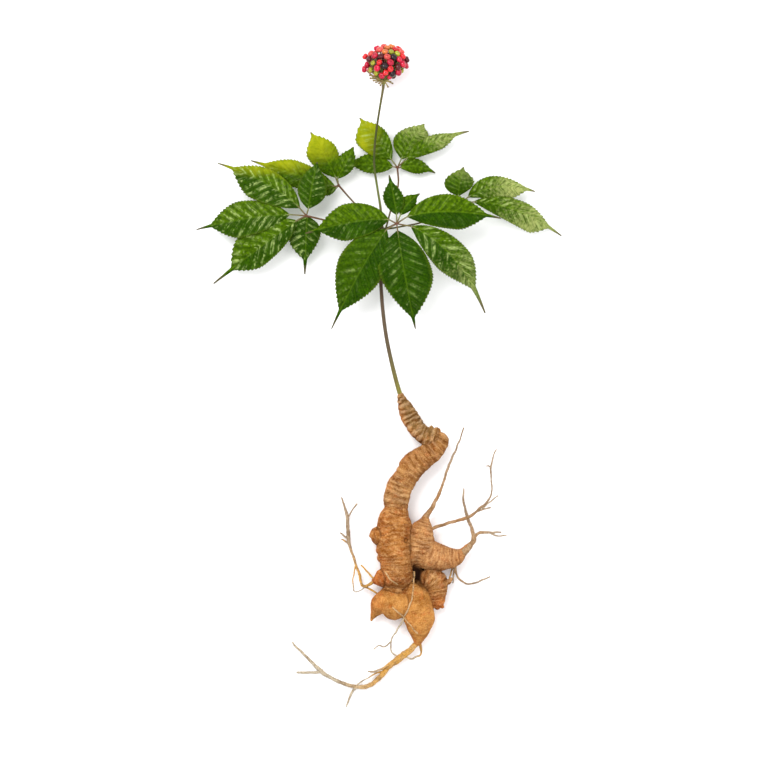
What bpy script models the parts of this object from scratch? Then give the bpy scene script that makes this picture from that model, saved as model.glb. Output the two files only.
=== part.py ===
"""A whole ginseng plant as it is dug up: forked root, stem, five leaves and berries.

The plant lies on its back on a flat surface. +Y runs up the plant, from the
root's tail to the berries, +Z is up, and the origin is on the surface under
the middle of the plant. The tables are in millimetres, and the shapes are
made in metres.
"""

import math
import random

import bmesh
import bpy
from mathutils import Euler, Vector, noise

MM = 0.001

# Overall driving sizes, in mm
STEM_KNOT_RADIUS = 2.5
STEM_SPACING = 16.0
STEM_SIDES = 6
JOINT_GAP = 0.35
PETIOLE_FOOT_LENGTH = 4.0
PETIOLE_FOOT_RADIUS = 1.15
PETIOLE_RADIUS = 1.05
PETIOLE_SPACING = 20.0
HUB_RADIUS = 1.9
SMALL_STALK_RADII = (1.1, 1.0, 0.8)
SMALL_STALK_END = 0.07
BLADE_THICKNESS = 0.8
LARGE_TOOTH = 1.7
TOOTH_SHARE = 0.25
TOOTH_LEAN = 0.6
NOTCH_PLACE = 0.45
DRIP_HALF_WIDTH = 1.7
DRIP_END_HALF_WIDTH = 0.55
FOOT_SHARE = 0.4
FOOT_LENGTH = 0.17
FOOT_ROUNDNESS = 0.8
TIP_ROUNDNESS = 1.75
EDGE_DROOP = 0.12
BERRY_COUNT = 48
BERRY_RADIUS = 4.15
BERRY_SQUASH = 0.95
BERRY_SIZE_SCATTER = 0.05
BERRY_DEPTH_SCATTER = 0.06
BERRY_SIDES = 7
BERRY_RINGS = 4
BERRY_PLACE_SEED = 11
BERRY_TURN_SEED = 5
STEM_SIDE_BARE = 0.93
BERRY_HEAD_CENTRE = (7.5, 313.0, 22.7)
BERRY_HEAD_REACH = (20.0, 16.2, 18.6)
RECEPTACLE = (5.2, 294.5, 24.0)
RECEPTACLE_RADIUS = 3.4
BERRY_STALK_RADIUS = 0.5
LEAST_ROOT_RADIUS = 0.75
THICK_ROOT_RADIUS = 2.4
THICK_ROOT_SPACING = 11.0
THIN_ROOT_SPACING = 19.0
ROOT_WARP = 1.3
ROOT_WARP_SPAN = 14.0
ROOT_WARP_SEED = 3
NECK_TOP = -20.0
WARP_FADE = 12.0
SURFACE_CUTTER = (400.0, 600.0, 20.0)
SURFACE_CUTTER_Y = -170.0
SHARP_ANGLE = 50.0

# The root's thick limbs: stations of x, y, z and radius, ring spacing, ring depth, sides
LIMBS = {
    "upper_neck": (
        [(21.4, -17.6, 12, 2.6), (23, -22.5, 11.6, 5), (26.3, -30, 12, 6.9), (31.2, -41, 13, 8.8),
         (37, -51, 14, 9.4), (44, -58.5, 16, 9.4), (54, -62.5, 18, 9.6), (61, -64.5, 19, 8.4),
         (65.5, -66, 19, 5), (67.5, -66.5, 19, 1.5)],
        5.6, 0.075, 10,
    ),
    "lower_neck": (
        [(64, -57.5, 20, 3), (63.5, -61, 20, 7), (61.5, -67, 20, 9.3), (54, -75.5, 20, 10.6),
         (43, -83, 20, 12.4), (34, -90.5, 20, 13), (27, -101, 20, 12.4), (21.3, -112, 19, 13.4),
         (18.3, -122, 19, 13.8), (17.5, -130, 19, 12.2), (18, -138, 19, 10.6)],
        6.6, 0.05, 12,
    ),
    "torso": (
        [(18, -127, 19, 6), (17.5, -134, 19, 12.5), (16, -143, 18.5, 16), (16, -156, 18, 18.3),
         (17, -170, 17.8, 19.2), (18, -182, 17.5, 17.4), (18, -192, 17, 16.4), (18, -202, 16.8, 17.6),
         (19, -210.5, 16, 13), (19, -215, 16, 5)],
        9.0, 0.025, 12,
    ),
    "side_knob": (
        [(14, -160, 20, 8), (4, -160, 21, 9.2), (-3, -160, 21, 8.6), (-7, -160, 21, 6),
         (-9, -160, 21, 2)],
        7.0, 0.0, 10,
    ),
    "low_knob": (
        [(12, -201, 20, 10), (5, -202.5, 20, 10), (0, -204.5, 20, 7.6), (-4.5, -206, 20, 3.4)],
        6.0, 0.02, 8,
    ),
    "shoulder": (
        [(47, -139, 19, 2.8), (46, -144.5, 19, 5.8), (44, -153, 19, 11.2), (42, -164, 18.5, 14.8),
         (41, -175, 18, 14.6), (42, -185, 17, 10), (43, -189, 17, 3)],
        9.0, 0.02, 10,
    ),
    "right_limb": (
        [(29, -172, 17, 7), (38, -174, 16, 13.8), (48, -178, 15.5, 15.4), (58, -181, 15, 14.6),
         (70, -182, 14.5, 11.6), (79, -180, 14.5, 8.2), (85, -176, 14.5, 4.6), (90, -170, 14, 3.2)],
        8.0, 0.02, 10,
    ),
    "ringed_leg": (
        [(46, -200, 13, 6), (51, -202, 14, 11.2), (57.5, -207.5, 13.5, 12), (59.5, -216, 13, 9.6),
         (59.8, -224, 12.5, 7.4), (59.2, -229.5, 12, 6), (59, -232.5, 12, 3.4)],
        4.8, 0.07, 10,
    ),
    "left_bulb": (
        [(34, -227, 15, 7), (26, -227.5, 15.5, 14), (16.5, -227.3, 16, 17.2), (7.5, -228.5, 15.5, 16.2),
         (1, -231, 14, 11), (-3.2, -237, 12.5, 5.4), (-6.6, -243, 11, 2.2), (-7.6, -245.5, 10.5, 1.4)],
        9.0, 0.0, 10,
    ),
    "teardrop": (
        [(33, -208, 16, 5), (34, -214, 16, 11), (37, -225, 15.8, 15.4), (39.5, -236, 15.8, 16),
         (40.5, -246, 15.4, 15.2), (40.6, -255, 14.8, 11.8), (40.4, -262, 13.5, 7),
         (39.5, -268, 12.5, 3.8)],
        9.5, 0.0, 10,
    ),
    "hollow": (
        [(31, -190, 8, 6), (37, -195, 7.5, 7.4), (43, -200, 7.5, 7), (49, -204, 8, 6)],
        10.0, 0.0, 8,
    ),
}

# The thin roots: stations of x, y, z and radius, each starting inside what it grows from
ROOTLETS = [
    [(41, -261, 14, 5), (39.3, -267.5, 12, 3.3), (32.5, -274.5, 10.5, 2.9), (26.8, -279, 8.5, 3.3),
     (20.5, -284, 6.5, 3.6), (13.2, -289.5, 5, 3.1), (6.9, -296, 4, 2.8), (-0.8, -305, 3.2, 2.5),
     (-10.6, -311.5, 2.8, 2.2), (-20.3, -312.2, 2.5, 2), (-30.5, -310.8, 2.3, 1.8),
     (-40.7, -306.8, 2.2, 1.8), (-49.7, -302, 2.2, 1.8), (-56.5, -297.4, 2.2, 2.1),
     (-64.5, -290, 2.1, 1.7), (-75.3, -279.5, 2, 1.4), (-86.6, -267.8, 1.8, 0.8)],
    [(-56, -297, 2.2, 1.5), (-68, -298.2, 2.2, 1.3), (-82, -298.6, 2, 1)],
    [(-20.3, -311.3, 2.5, 1.6), (-25.9, -316.4, 2.4, 1.3), (-29.9, -324.3, 2, 1),
     (-32.2, -332.8, 1.8, 0.7)],
    [(17, -285, 6.5, 1.6), (9.2, -290.3, 7.5, 1.3), (2.4, -294.2, 7.5, 1.1), (-4.4, -296.9, 7, 1),
     (-10.6, -297.1, 6, 0.8)],
    [(4.7, -297, 4.2, 1.2), (-2.1, -298.3, 5, 0.8), (-7.8, -301.8, 5, 0.7), (-14.6, -305.2, 4.2, 0.7),
     (-20.8, -310, 3, 0.8)],
    [(9, -197, 24, 2.2), (0, -203, 21.5, 1.8), (-8, -208, 16, 1.5), (-15.8, -210.5, 12, 1.4),
     (-19, -201, 9.5, 1.3), (-24, -185.5, 8, 1.3), (-28.3, -171.5, 7, 1.4), (-30.5, -162, 6.5, 2),
     (-30.8, -153, 6, 1.9), (-31.5, -142, 5.5, 1.6), (-34.5, -131, 4.5, 1.1), (-37.3, -122, 3.5, 0.7)],
    [(-31, -143, 5.5, 1.1), (-27.5, -136, 5, 0.8), (-21.7, -128.7, 4, 0.7)],
    [(-30, -163.5, 6.5, 1.1), (-35, -160.2, 6, 0.9), (-38.5, -158, 5, 0.8)],
    [(-29.5, -168.5, 6.7, 1.1), (-33.5, -166, 6, 0.9), (-37, -164, 5.5, 0.7)],
    [(-23, -190, 8, 0.9), (-24.8, -199, 6, 0.7), (-25.8, -208, 4.5, 0.6), (-25.4, -215.3, 3.5, 0.6),
     (-20.5, -216, 4.5, 0.6), (-13.5, -211.5, 10, 0.7)],
    [(-15, -210.5, 12, 1.2), (-8.5, -214, 13, 1), (0, -218.5, 14.5, 1)],
    [(3, -205, 21, 1.5), (-5.5, -201.5, 19, 1.1), (-12, -195, 16.5, 0.9), (-17.5, -189.8, 15, 0.7)],
    [(46.5, -142, 19, 3.6), (52, -134, 20, 2.4), (58, -124, 21, 1.8), (63, -111, 22, 1.5),
     (69, -94, 22, 1.3), (75, -79, 20, 1.1), (81, -65, 17, 0.9), (86, -52, 13, 0.7)],
    [(44, -156, 20, 2.6), (54, -152.5, 20, 1.7), (67, -148, 18, 1.6), (78, -145, 16, 1.6),
     (89, -142, 15, 1.7), (98, -136, 13, 1.4), (107, -128, 11, 1.1), (112.8, -119, 9, 0.9),
     (113.3, -104, 7, 0.8), (112.8, -92, 5.5, 1), (115, -81, 4, 0.7), (118.5, -74, 3, 0.6)],
    [(97, -136.5, 13, 1.2), (105, -134, 12, 0.9), (112.5, -131.8, 11, 0.7)],
    [(104, -133, 12, 1), (112, -126, 13, 0.8), (120, -120, 13, 0.6)],
    [(113, -92, 5.5, 0.8), (110.5, -90, 5.2, 0.7), (108.5, -90.5, 5, 0.6)],
    [(85, -177, 16, 4.4), (92.8, -168, 13, 2.8), (95.6, -161.5, 11.5, 2.6), (93.3, -152, 9.5, 1.6),
     (90, -144, 8, 1.6), (87, -134, 6.5, 1.2), (85, -124, 5, 1), (86, -113, 3.5, 0.7)],
    [(95, -162, 11.5, 2), (101, -157.5, 11, 1.6), (112, -157, 9.5, 1.3), (123, -157, 8, 0.8)],
    [(111, -157, 9.5, 1), (119, -160.8, 8, 0.8), (128.5, -160, 6.5, 0.6)],
    [(76.5, -187, 14, 1.8), (78, -198.5, 9, 1.1), (83, -205.5, 6, 0.9), (89.5, -209, 4.5, 0.9),
     (98, -208, 4, 0.9), (105, -204.5, 3.5, 0.8), (112, -202, 3, 0.7)],
    [(76, -188, 13, 1.4), (72.8, -198, 10, 0.9), (70.8, -207, 7, 0.7)],
    [(77, -189, 13, 1.3), (75.6, -199, 10, 0.9), (74.6, -208, 7, 0.7)],
    [(35.5, -196, 18, 1.6), (35.4, -206, 24, 1.1), (34.5, -215.2, 27.6, 1.1), (32, -226, 28.6, 1.1),
     (29.5, -233.5, 28, 1.1), (25.2, -241.2, 26, 1.1), (23.3, -247.6, 19, 0.9), (16.9, -256.8, 13, 0.8),
     (13.3, -264, 8, 0.8), (12, -272, 6.5, 0.7), (13.7, -277.8, 6.5, 0.7), (18.5, -281, 6.5, 0.8)],
    [(41, -266, 12.5, 1.8), (42.7, -274, 11, 1.2), (42, -280, 9.5, 1), (37.6, -282, 9, 1),
     (33, -284, 8.5, 1), (26.5, -281, 8, 0.8)],
    [(13, -266, 7.5, 0.9), (5.8, -272, 6, 0.7), (0, -271, 5, 0.6), (-5, -274.5, 4, 0.6)],
    [(14, -231, 29.5, 1.1), (19, -235.5, 28.5, 1.1), (25, -241, 27.4, 1), (32, -249, 26.4, 1),
     (38.5, -257, 22.5, 0.9)],
    [(7, -196, 27, 0.9), (12, -203, 30, 0.8), (19, -208, 29.6, 0.7)],
]

# The stem: stations of x, y, z and radius
STEM_ROUTE = [
    (21.2, -16.9, 12.2, 2.4), (18, -6, 15, 2.2), (13, 14, 20, 2.1), (8, 38, 24, 2.0), (4.5, 64, 27, 1.9),
    (2.5, 91, 29, 1.85), (2, 118, 30, 1.8), (2.9, 141, 30, 1.8), (3, 147, 30, STEM_KNOT_RADIUS),
    (2.9, 152, 30, 1.6), (2, 168, 30, 1.4), (-1.5, 190, 30, 1.35), (-4, 208, 30, 1.3), (-4, 226, 29, 1.3),
    (-2, 246, 28, 1.3), (1, 266, 26.5, 1.35), (4, 284, 25, 1.4), (4.9, 290.6, 24.4, 1.5),
]
WHORL = (3.0, 147.0, 30.0)

# Each leaf: hub, petiole's way points after the whorl, and its leaflets.
# A leaflet is base, middle and tip of its midrib, largest half width and where
# along it that is, on the left and on the right, share of its length that is
# drip tip, and teeth on each side.
LEAVES = {
    "leaf_front": {
        "start": (0.3, 0.0, 0.95),
        "petiole": [(10, 148, 45)],
        "hub": (18, 151, 60),
        "leaflets": [
            ((10, 155, 61), (-26, 152.5, 64), (-73, 142, 41), (17.5, 0.58), (19, 0.54), 0.12, 8),
            ((8, 145, 59), (-18, 104, 60), (-47, 47, 26), (21.5, 0.5), (25, 0.47), 0.14, 9),
            ((19, 144, 60), (26, 101, 62), (37, 47, 24), (27.5, 0.55), (25, 0.42), 0.09, 9),
            ((33, 148, 60), (75, 116.5, 58), (107, 63, 10), (16, 0.54), (18.5, 0.46), 0.2, 8),
            ((29, 158, 61), (72, 163, 63), (122, 157, 42), (17.5, 0.46), (17.5, 0.58), 0.13, 8),
            ((18, 160, 62), (15, 178, 65), (10.5, 199, 67), (10.5, 0.5), (9.5, 0.42), 0.14, 5),
            ((22, 160, 59), (30, 172, 58), (41, 181, 55), (7.5, 0.45), (7.5, 0.5), 0.12, 5),
        ],
    },
    "leaf_left": {
        "start": (-0.96, 0.0, 0.28),
        "petiole": [(-18, 148, 33), (-43, 153, 35)],
        "hub": (-72, 160, 32),
        "leaflets": [
            ((-79, 168, 34), (-113, 192.5, 40), (-161, 213, 22), (20, 0.58), (14.5, 0.5), 0.14, 8),
            ((-70, 167, 34), (-66.5, 188, 41), (-61, 213, 40), (14, 0.5), (15.5, 0.46), 0.04, 6),
            ((-89, 161, 33), (-133, 157, 36), (-183, 147, 7), (18, 0.58), (18, 0.54), 0.14, 8),
            ((-82, 155, 31), (-116, 130, 33), (-166, 93, 0.6), (16.5, 0.6), (21.5, 0.62), 0.17, 9),
            ((-71, 159.5, 31), (-72.5, 138, 27), (-74, 102, 9), (14.5, 0.4), (16.5, 0.54), 0.17, 6),
        ],
    },
    "leaf_left_back": {
        "start": (-0.78, 0.0, -0.62),
        "petiole": [(-9, 158, 25), (-25, 174, 20)],
        "hub": (-40, 191, 18),
        "leaflets": [
            ((-43, 199, 19), (-53.5, 220, 26), (-68, 244, 24), (16, 0.64), (14, 0.56), 0.06, 6),
            ((-41, 198, 20), (-33, 213, 25), (-25, 229, 28), (8.5, 0.54), (9.5, 0.54), 0.06, 5),
            ((-44, 190, 18), (-84, 202, 26), (-128, 216, 14), (13, 0.5), (13.5, 0.52), 0.14, 8),
            ((-42.5, 188, 17), (-53, 187, 16), (-67, 184, 13), (6.5, 0.46), (6, 0.46), 0.08, 4),
        ],
    },
    "leaf_back": {
        "start": (0.62, 0.0, -0.78),
        "petiole": [(12, 165, 20), (19.5, 190, 14)],
        "hub": (19, 209, 12),
        "leaflets": [
            ((13, 217, 13), (-2, 237.5, 18), (-19, 259, 12), (18.5, 0.66), (12, 0.52), 0.07, 7),
            ((14, 210, 12), (-5, 212, 14), (-31, 213, 8), (8.8, 0.56), (10.3, 0.6), 0.06, 6),
            ((23, 218, 12), (32.5, 235, 15), (46, 253, 12), (16.5, 0.4), (16.5, 0.74), 0.04, 6),
            ((28, 218, 13), (55, 234, 21), (91, 246, 5), (7.5, 0.44), (9.5, 0.56), 0.18, 7),
            ((22, 209, 12), (38, 210.5, 13), (57, 204, 6), (7.5, 0.46), (7.5, 0.5), 0.12, 5),
        ],
    },
    "leaf_right": {
        "start": (0.97, 0.0, 0.24),
        "petiole": [(22, 149, 33), (48, 155, 34)],
        "hub": (82, 173, 27),
        "leaflets": [
            ((80, 180, 27), (81, 193, 31), (85, 209, 26), (15, 0.44), (14, 0.62), 0.06, 6),
            ((90, 179, 27), (120, 189, 32), (157, 185, 14), (11.5, 0.38), (12.5, 0.64), 0.1, 7),
            ((96, 174, 27), (137, 166, 30), (184, 141, 0.6), (10.5, 0.58), (15, 0.7), 0.13, 8),
            ((77, 172, 26), (62, 169, 25), (47, 164, 22), (6, 0.46), (6, 0.46), 0.08, 4),
        ],
    },
}

COLOURS = {
    "root": ((0.55, 0.29, 0.11, 1.0), 0.75),
    "stem": ((0.22, 0.17, 0.07, 1.0), 0.5),
    "leaf": ((0.045, 0.15, 0.012, 1.0), 0.4),
    "berry": ((0.62, 0.015, 0.02, 1.0), 0.2),
}


def clear_scene():
    for item in list(bpy.data.objects):
        bpy.data.objects.remove(item)


def new_collection(name):
    made = bpy.data.collections.new(name)
    bpy.context.scene.collection.children.link(made)
    return made


def material(name):
    made = bpy.data.materials.new(name)
    made.use_nodes = True
    colour, roughness = COLOURS[name]
    shader = made.node_tree.nodes["Principled BSDF"]
    shader.inputs["Base Color"].default_value = colour
    shader.inputs["Roughness"].default_value = roughness
    shader.inputs["Metallic"].default_value = 0.0
    return made


def curve_value(a, b, c, d, t):
    """The smooth curve's value at t from b to c, with a before them and d after."""
    bend = 2 * a - 5 * b + 4 * c - d
    twist = 3 * b - a - 3 * c + d
    return 0.5 * (2 * b + (c - a) * t + bend * t**2 + twist * t**3)


def smooth_stations(route, spacing):
    """A smooth curve through the stations of x, y, z, radius, read at about this spacing."""
    before_first = [2 * a - b for a, b in zip(route[0], route[1])]
    after_last = [2 * a - b for a, b in zip(route[-1], route[-2])]
    padded = [before_first, *route, after_last]
    stations = []
    for before, here, there, after in zip(padded, padded[1:], padded[2:], padded[3:]):
        steps = max(1, round((Vector(there[:3]) - Vector(here[:3])).length / spacing))
        for step in range(steps):
            t = step / steps
            stations.append([curve_value(*values, t) for values in zip(before, here, there, after)])
    return [*stations, list(route[-1])]


def tube(name, stations, sides):
    """A closed mesh tube whose thickness follows the stations' radius."""
    data = bpy.data.curves.new(name, "CURVE")
    data.dimensions = "3D"
    data.bevel_depth = MM
    data.bevel_resolution = (sides - 4) // 2
    data.use_fill_caps = True
    spline = data.splines.new("POLY")
    spline.points.add(len(stations) - 1)
    for point, (x, y, z, radius) in zip(spline.points, stations):
        point.co = (x * MM, y * MM, z * MM, 1.0)
        point.radius = radius
    curve = bpy.data.objects.new(name + "_curve", data)
    bpy.context.scene.collection.objects.link(curve)
    bpy.context.view_layer.update()
    evaluated = curve.evaluated_get(bpy.context.evaluated_depsgraph_get())
    mesh = bpy.data.meshes.new_from_object(evaluated)
    bpy.data.objects.remove(curve)
    return mesh_object(name, mesh)


def mesh_object(name, mesh):
    """An object in the scene with its points welded and its faces turned outwards."""
    shape = bmesh.new()
    shape.from_mesh(mesh)
    bmesh.ops.remove_doubles(shape, verts=shape.verts, dist=0.01 * MM)
    bmesh.ops.triangulate(shape, faces=shape.faces)
    bmesh.ops.recalc_face_normals(shape, faces=shape.faces)
    shape.to_mesh(mesh)
    shape.free()
    made = bpy.data.objects.new(name, mesh)
    bpy.context.scene.collection.objects.link(made)
    return made


def ball(name, centre, radius, segments, rings, turn=(0, 0, 0), squash=1.0):
    shape = bmesh.new()
    bmesh.ops.create_uvsphere(shape, u_segments=segments, v_segments=rings, radius=radius * MM)
    for vertex in shape.verts:
        vertex.co.z *= squash
        vertex.co.rotate(Euler(turn))
        vertex.co += Vector(centre) * MM
    mesh = bpy.data.meshes.new(name)
    shape.to_mesh(mesh)
    shape.free()
    return mesh_object(name, mesh)


def joined(name, pieces):
    """One object with the union of all the pieces."""
    base, others = pieces[0], pieces[1:]
    group = new_collection(name + "_pieces")
    for piece in others:
        bpy.context.scene.collection.objects.unlink(piece)
        group.objects.link(piece)
    union = base.modifiers.new("union", "BOOLEAN")
    union.operation = "UNION"
    union.operand_type = "COLLECTION"
    union.collection = group
    union.solver = "MANIFOLD"
    bpy.context.view_layer.update()
    mesh = bpy.data.meshes.new_from_object(base.evaluated_get(bpy.context.evaluated_depsgraph_get()))
    for piece in pieces:
        bpy.data.objects.remove(piece)
    bpy.data.collections.remove(group)
    made = bpy.data.objects.new(name, mesh)
    bpy.context.scene.collection.objects.link(made)
    return made


def limb(name, route, pitch, depth, sides):
    """One thick limb of the root, with its radius swelling and pinching at each ring."""
    stations = smooth_stations(route, pitch / 2)
    for number, station in enumerate(stations[1:-1]):
        station[3] *= 1 + depth if number % 2 else 1 - depth
    return tube(name, stations, sides)


def warp(piece):
    """Uneven growth: every point drifts by a smooth noise field, which fades out where the stem begins."""
    for vertex in piece.data.vertices:
        below_top = NECK_TOP - vertex.co.y / MM
        share = min(1.0, max(0.0, below_top / WARP_FADE))
        drift = Vector(noise.noise_vector(vertex.co / (ROOT_WARP_SPAN * MM)))
        vertex.co += drift * ROOT_WARP * share * MM


def cut_flat_spot(body):
    """The underside is flat where it rests on the surface."""
    shape = bmesh.new()
    bmesh.ops.create_cube(shape, size=1.0)
    bmesh.ops.scale(shape, vec=Vector(SURFACE_CUTTER) * MM, verts=shape.verts)
    middle = Vector((0.0, SURFACE_CUTTER_Y, -SURFACE_CUTTER[2] / 2))
    bmesh.ops.translate(shape, vec=middle * MM, verts=shape.verts)
    mesh = bpy.data.meshes.new("surface_cutter")
    shape.to_mesh(mesh)
    shape.free()
    cutter = mesh_object("surface_cutter", mesh)
    cut = body.modifiers.new("flat_spot", "BOOLEAN")
    cut.operation = "DIFFERENCE"
    cut.object = cutter
    bpy.context.view_layer.update()
    body.data = bpy.data.meshes.new_from_object(body.evaluated_get(bpy.context.evaluated_depsgraph_get()))
    body.modifiers.clear()
    bpy.data.objects.remove(cutter)


def build_root():
    """All the limbs and thin roots, each warped by the same field, as one body with a flat spot under it."""
    noise.seed_set(ROOT_WARP_SEED)
    pieces = [limb(name, *shape) for name, shape in LIMBS.items()]
    for number, route in enumerate(ROOTLETS):
        route = [(x, y, z, max(radius, LEAST_ROOT_RADIUS)) for x, y, z, radius in route]
        is_thick = max(station[3] for station in route) > THICK_ROOT_RADIUS
        spacing, sides = (THICK_ROOT_SPACING, 6) if is_thick else (THIN_ROOT_SPACING, 4)
        pieces.append(tube(f"rootlet_{number}", smooth_stations(route, spacing), sides))
    for piece in pieces:
        warp(piece)
    root = joined("ginseng_root", pieces)
    cut_flat_spot(root)
    return root


def build_stem():
    return tube("stem", smooth_stations(STEM_ROUTE, STEM_SPACING), STEM_SIDES)


def midrib(leaflet, t):
    """The point at t from 0 to 1 along a leaflet's midrib."""
    base, middle, tip = (Vector(point) for point in leaflet[:3])
    return base * (2 * t - 1) * (t - 1) + middle * 4 * t * (1 - t) + tip * t * (2 * t - 1)


def half_width(share, widest, drip):
    """Half width, as a share of the widest, at this share of the leaflet's length."""
    if share < widest:
        return (1 - (1 - share / widest) ** 2) ** FOOT_ROUNDNESS
    fall = min(1.0, (share - widest) / (1 - drip - widest))
    return 1 - fall**TIP_ROUNDNESS


def least_half_width(share, drip):
    """Half width of the narrow tip, which grows from its end and shrinks again at the blade's foot."""
    grown = min(1.0, (1 - share) / drip, FOOT_SHARE + share / FOOT_LENGTH)
    return DRIP_END_HALF_WIDTH + (DRIP_HALF_WIDTH - DRIP_END_HALF_WIDTH) * grown


def blade(name, leaflet):
    """A toothed blade with a drip tip, arched along its midrib and drooping at its edges."""
    left, right, drip, teeth = leaflet[3:]
    rows = [0.0]
    for tooth in range(teeth):
        rows += [(tooth + NOTCH_PLACE) / teeth * (1 - drip), (tooth + 1.0) / teeth * (1 - drip)]
    rows += [1 - drip / 2, 1.0]
    shape = bmesh.new()
    lines = []
    for number, share in enumerate(rows):
        centre = midrib(leaflet, share)
        ahead = midrib(leaflet, share + 0.01) - midrib(leaflet, share - 0.01)
        side = Vector((-ahead.y, ahead.x, 0)).normalized()
        forward = Vector((ahead.x, ahead.y, 0)).normalized()
        is_notch = number % 2 == 1 and number < len(rows) - 2
        line = []
        for (reach, widest), sign in ((left, 1), (right, -1)):
            spread = reach * half_width(share, widest, drip)
            tooth_depth = min(LARGE_TOOTH, TOOTH_SHARE * spread)
            bite = tooth_depth if is_notch else 0.0
            out = math.hypot(spread - bite, least_half_width(share, drip))
            lean = 0.0 if is_notch else TOOTH_LEAN * tooth_depth
            point = centre + side * sign * out + forward * lean
            point.z -= EDGE_DROOP * spread
            line.append(point)
        lines.append([shape.verts.new(point * MM) for point in (line[0], centre, line[1])])
    for near, far in zip(lines, lines[1:]):
        shape.faces.new((near[0], near[1], far[1]))
        shape.faces.new((near[0], far[1], far[0]))
        shape.faces.new((near[1], near[2], far[2]))
        shape.faces.new((near[1], far[2], far[1]))
    bmesh.ops.recalc_face_normals(shape, faces=shape.faces)
    mesh = bpy.data.meshes.new(name)
    shape.to_mesh(mesh)
    shape.free()
    made = bpy.data.objects.new(name, mesh)
    bpy.context.scene.collection.objects.link(made)
    solid = made.modifiers.new("thickness", "SOLIDIFY")
    solid.thickness = BLADE_THICKNESS * MM
    solid.offset = 0.0
    return made


def small_stalk(name, hub, leaflet):
    """The small stalk from the hub into the foot of the blade."""
    places = (hub, midrib(leaflet, 0.0), midrib(leaflet, SMALL_STALK_END))
    return tube(name, [(*place, radius) for place, radius in zip(places, SMALL_STALK_RADII)], 4)


def build_leaf(name, leaf):
    hub = leaf["hub"]
    begin = Vector(WHORL) + Vector(leaf["start"]) * (STEM_KNOT_RADIUS + JOINT_GAP)
    near = Vector(WHORL) + Vector(leaf["start"]) * (STEM_KNOT_RADIUS + PETIOLE_FOOT_LENGTH)
    route = [(*begin, PETIOLE_FOOT_RADIUS), (*near, PETIOLE_FOOT_RADIUS)]
    route += [(*point, PETIOLE_RADIUS) for point in leaf["petiole"]]
    route.append((*hub, PETIOLE_FOOT_RADIUS))
    petiole = tube(name + "_petiole", smooth_stations(route, PETIOLE_SPACING), STEM_SIDES)
    pieces = [ball(name + "_hub", hub, HUB_RADIUS, 6, 4), petiole]
    for number, leaflet in enumerate(leaf["leaflets"]):
        pieces.append(small_stalk(f"{name}_stalk_{number}", hub, leaflet))
        pieces.append(blade(f"{name}_blade_{number}", leaflet))
    return joined(name, pieces)


def berry_places():
    """Berries spread evenly over a squashed ball, with none where the stem comes in."""
    centre, reach = Vector(BERRY_HEAD_CENTRE), BERRY_HEAD_REACH
    inward = (Vector(RECEPTACLE) - centre).normalized()
    draw = random.Random(BERRY_PLACE_SEED)
    places = []
    for number in range(BERRY_COUNT):
        height = 1 - 2 * (number + 0.5) / BERRY_COUNT
        turn = number * math.pi * (3 - math.sqrt(5))
        ring = math.sqrt(1 - height * height)
        out = Vector((ring * math.cos(turn), ring * math.sin(turn), height))
        if out.dot(inward) > STEM_SIDE_BARE:
            continue
        depth = draw.uniform(1 - BERRY_DEPTH_SCATTER, 1.0)
        place = centre + Vector([out[axis] * reach[axis] * depth for axis in range(3)])
        radius = BERRY_RADIUS * draw.uniform(1 - BERRY_SIZE_SCATTER, 1 + BERRY_SIZE_SCATTER)
        places.append((place, radius))
    return places


def build_berry_head():
    """Each berry sits on its own small stalk, and all the stalks fan out from the stem's top."""
    draw = random.Random(BERRY_TURN_SEED)
    hub = Vector(RECEPTACLE)
    pieces = [ball("receptacle", hub, RECEPTACLE_RADIUS, 8, 5)]
    for number, (place, radius) in enumerate(berry_places()):
        turn = [draw.uniform(0, math.tau) for _ in range(3)]
        pieces.append(ball(f"berry_{number}", place, radius, BERRY_SIDES, BERRY_RINGS, turn, BERRY_SQUASH))
        foot = hub + (place - hub).normalized() * 0.8 * RECEPTACLE_RADIUS
        route = [(*foot, BERRY_STALK_RADIUS), (*place, BERRY_STALK_RADIUS)]
        pieces.append(tube(f"berry_stalk_{number}", route, 4))
    return joined("berry_head", pieces)


def finish(made, collection, look):
    bpy.context.scene.collection.objects.unlink(made)
    collection.objects.link(made)
    made.data.materials.clear()
    made.data.materials.append(look)
    made.data.shade_smooth()
    made.data.set_sharp_from_angle(angle=math.radians(SHARP_ANGLE))


def main():
    clear_scene()
    plant = new_collection("ginseng_plant")
    looks = {name: material(name) for name in COLOURS}
    finish(build_root(), plant, looks["root"])
    finish(build_stem(), plant, looks["stem"])
    for name, leaf in LEAVES.items():
        finish(build_leaf(name, leaf), plant, looks["leaf"])
    finish(build_berry_head(), plant, looks["berry"])


main()
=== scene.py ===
"""The looks of the ginseng plant: ringed root, rootlets, stem, pleated leaves and berries.

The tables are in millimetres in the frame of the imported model: +Y up the
plant, +Z up from the surface that it lies on.
"""

import math
import random

import bpy
import numpy as np
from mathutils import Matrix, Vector, noise
from mathutils.bvhtree import BVHTree

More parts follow.
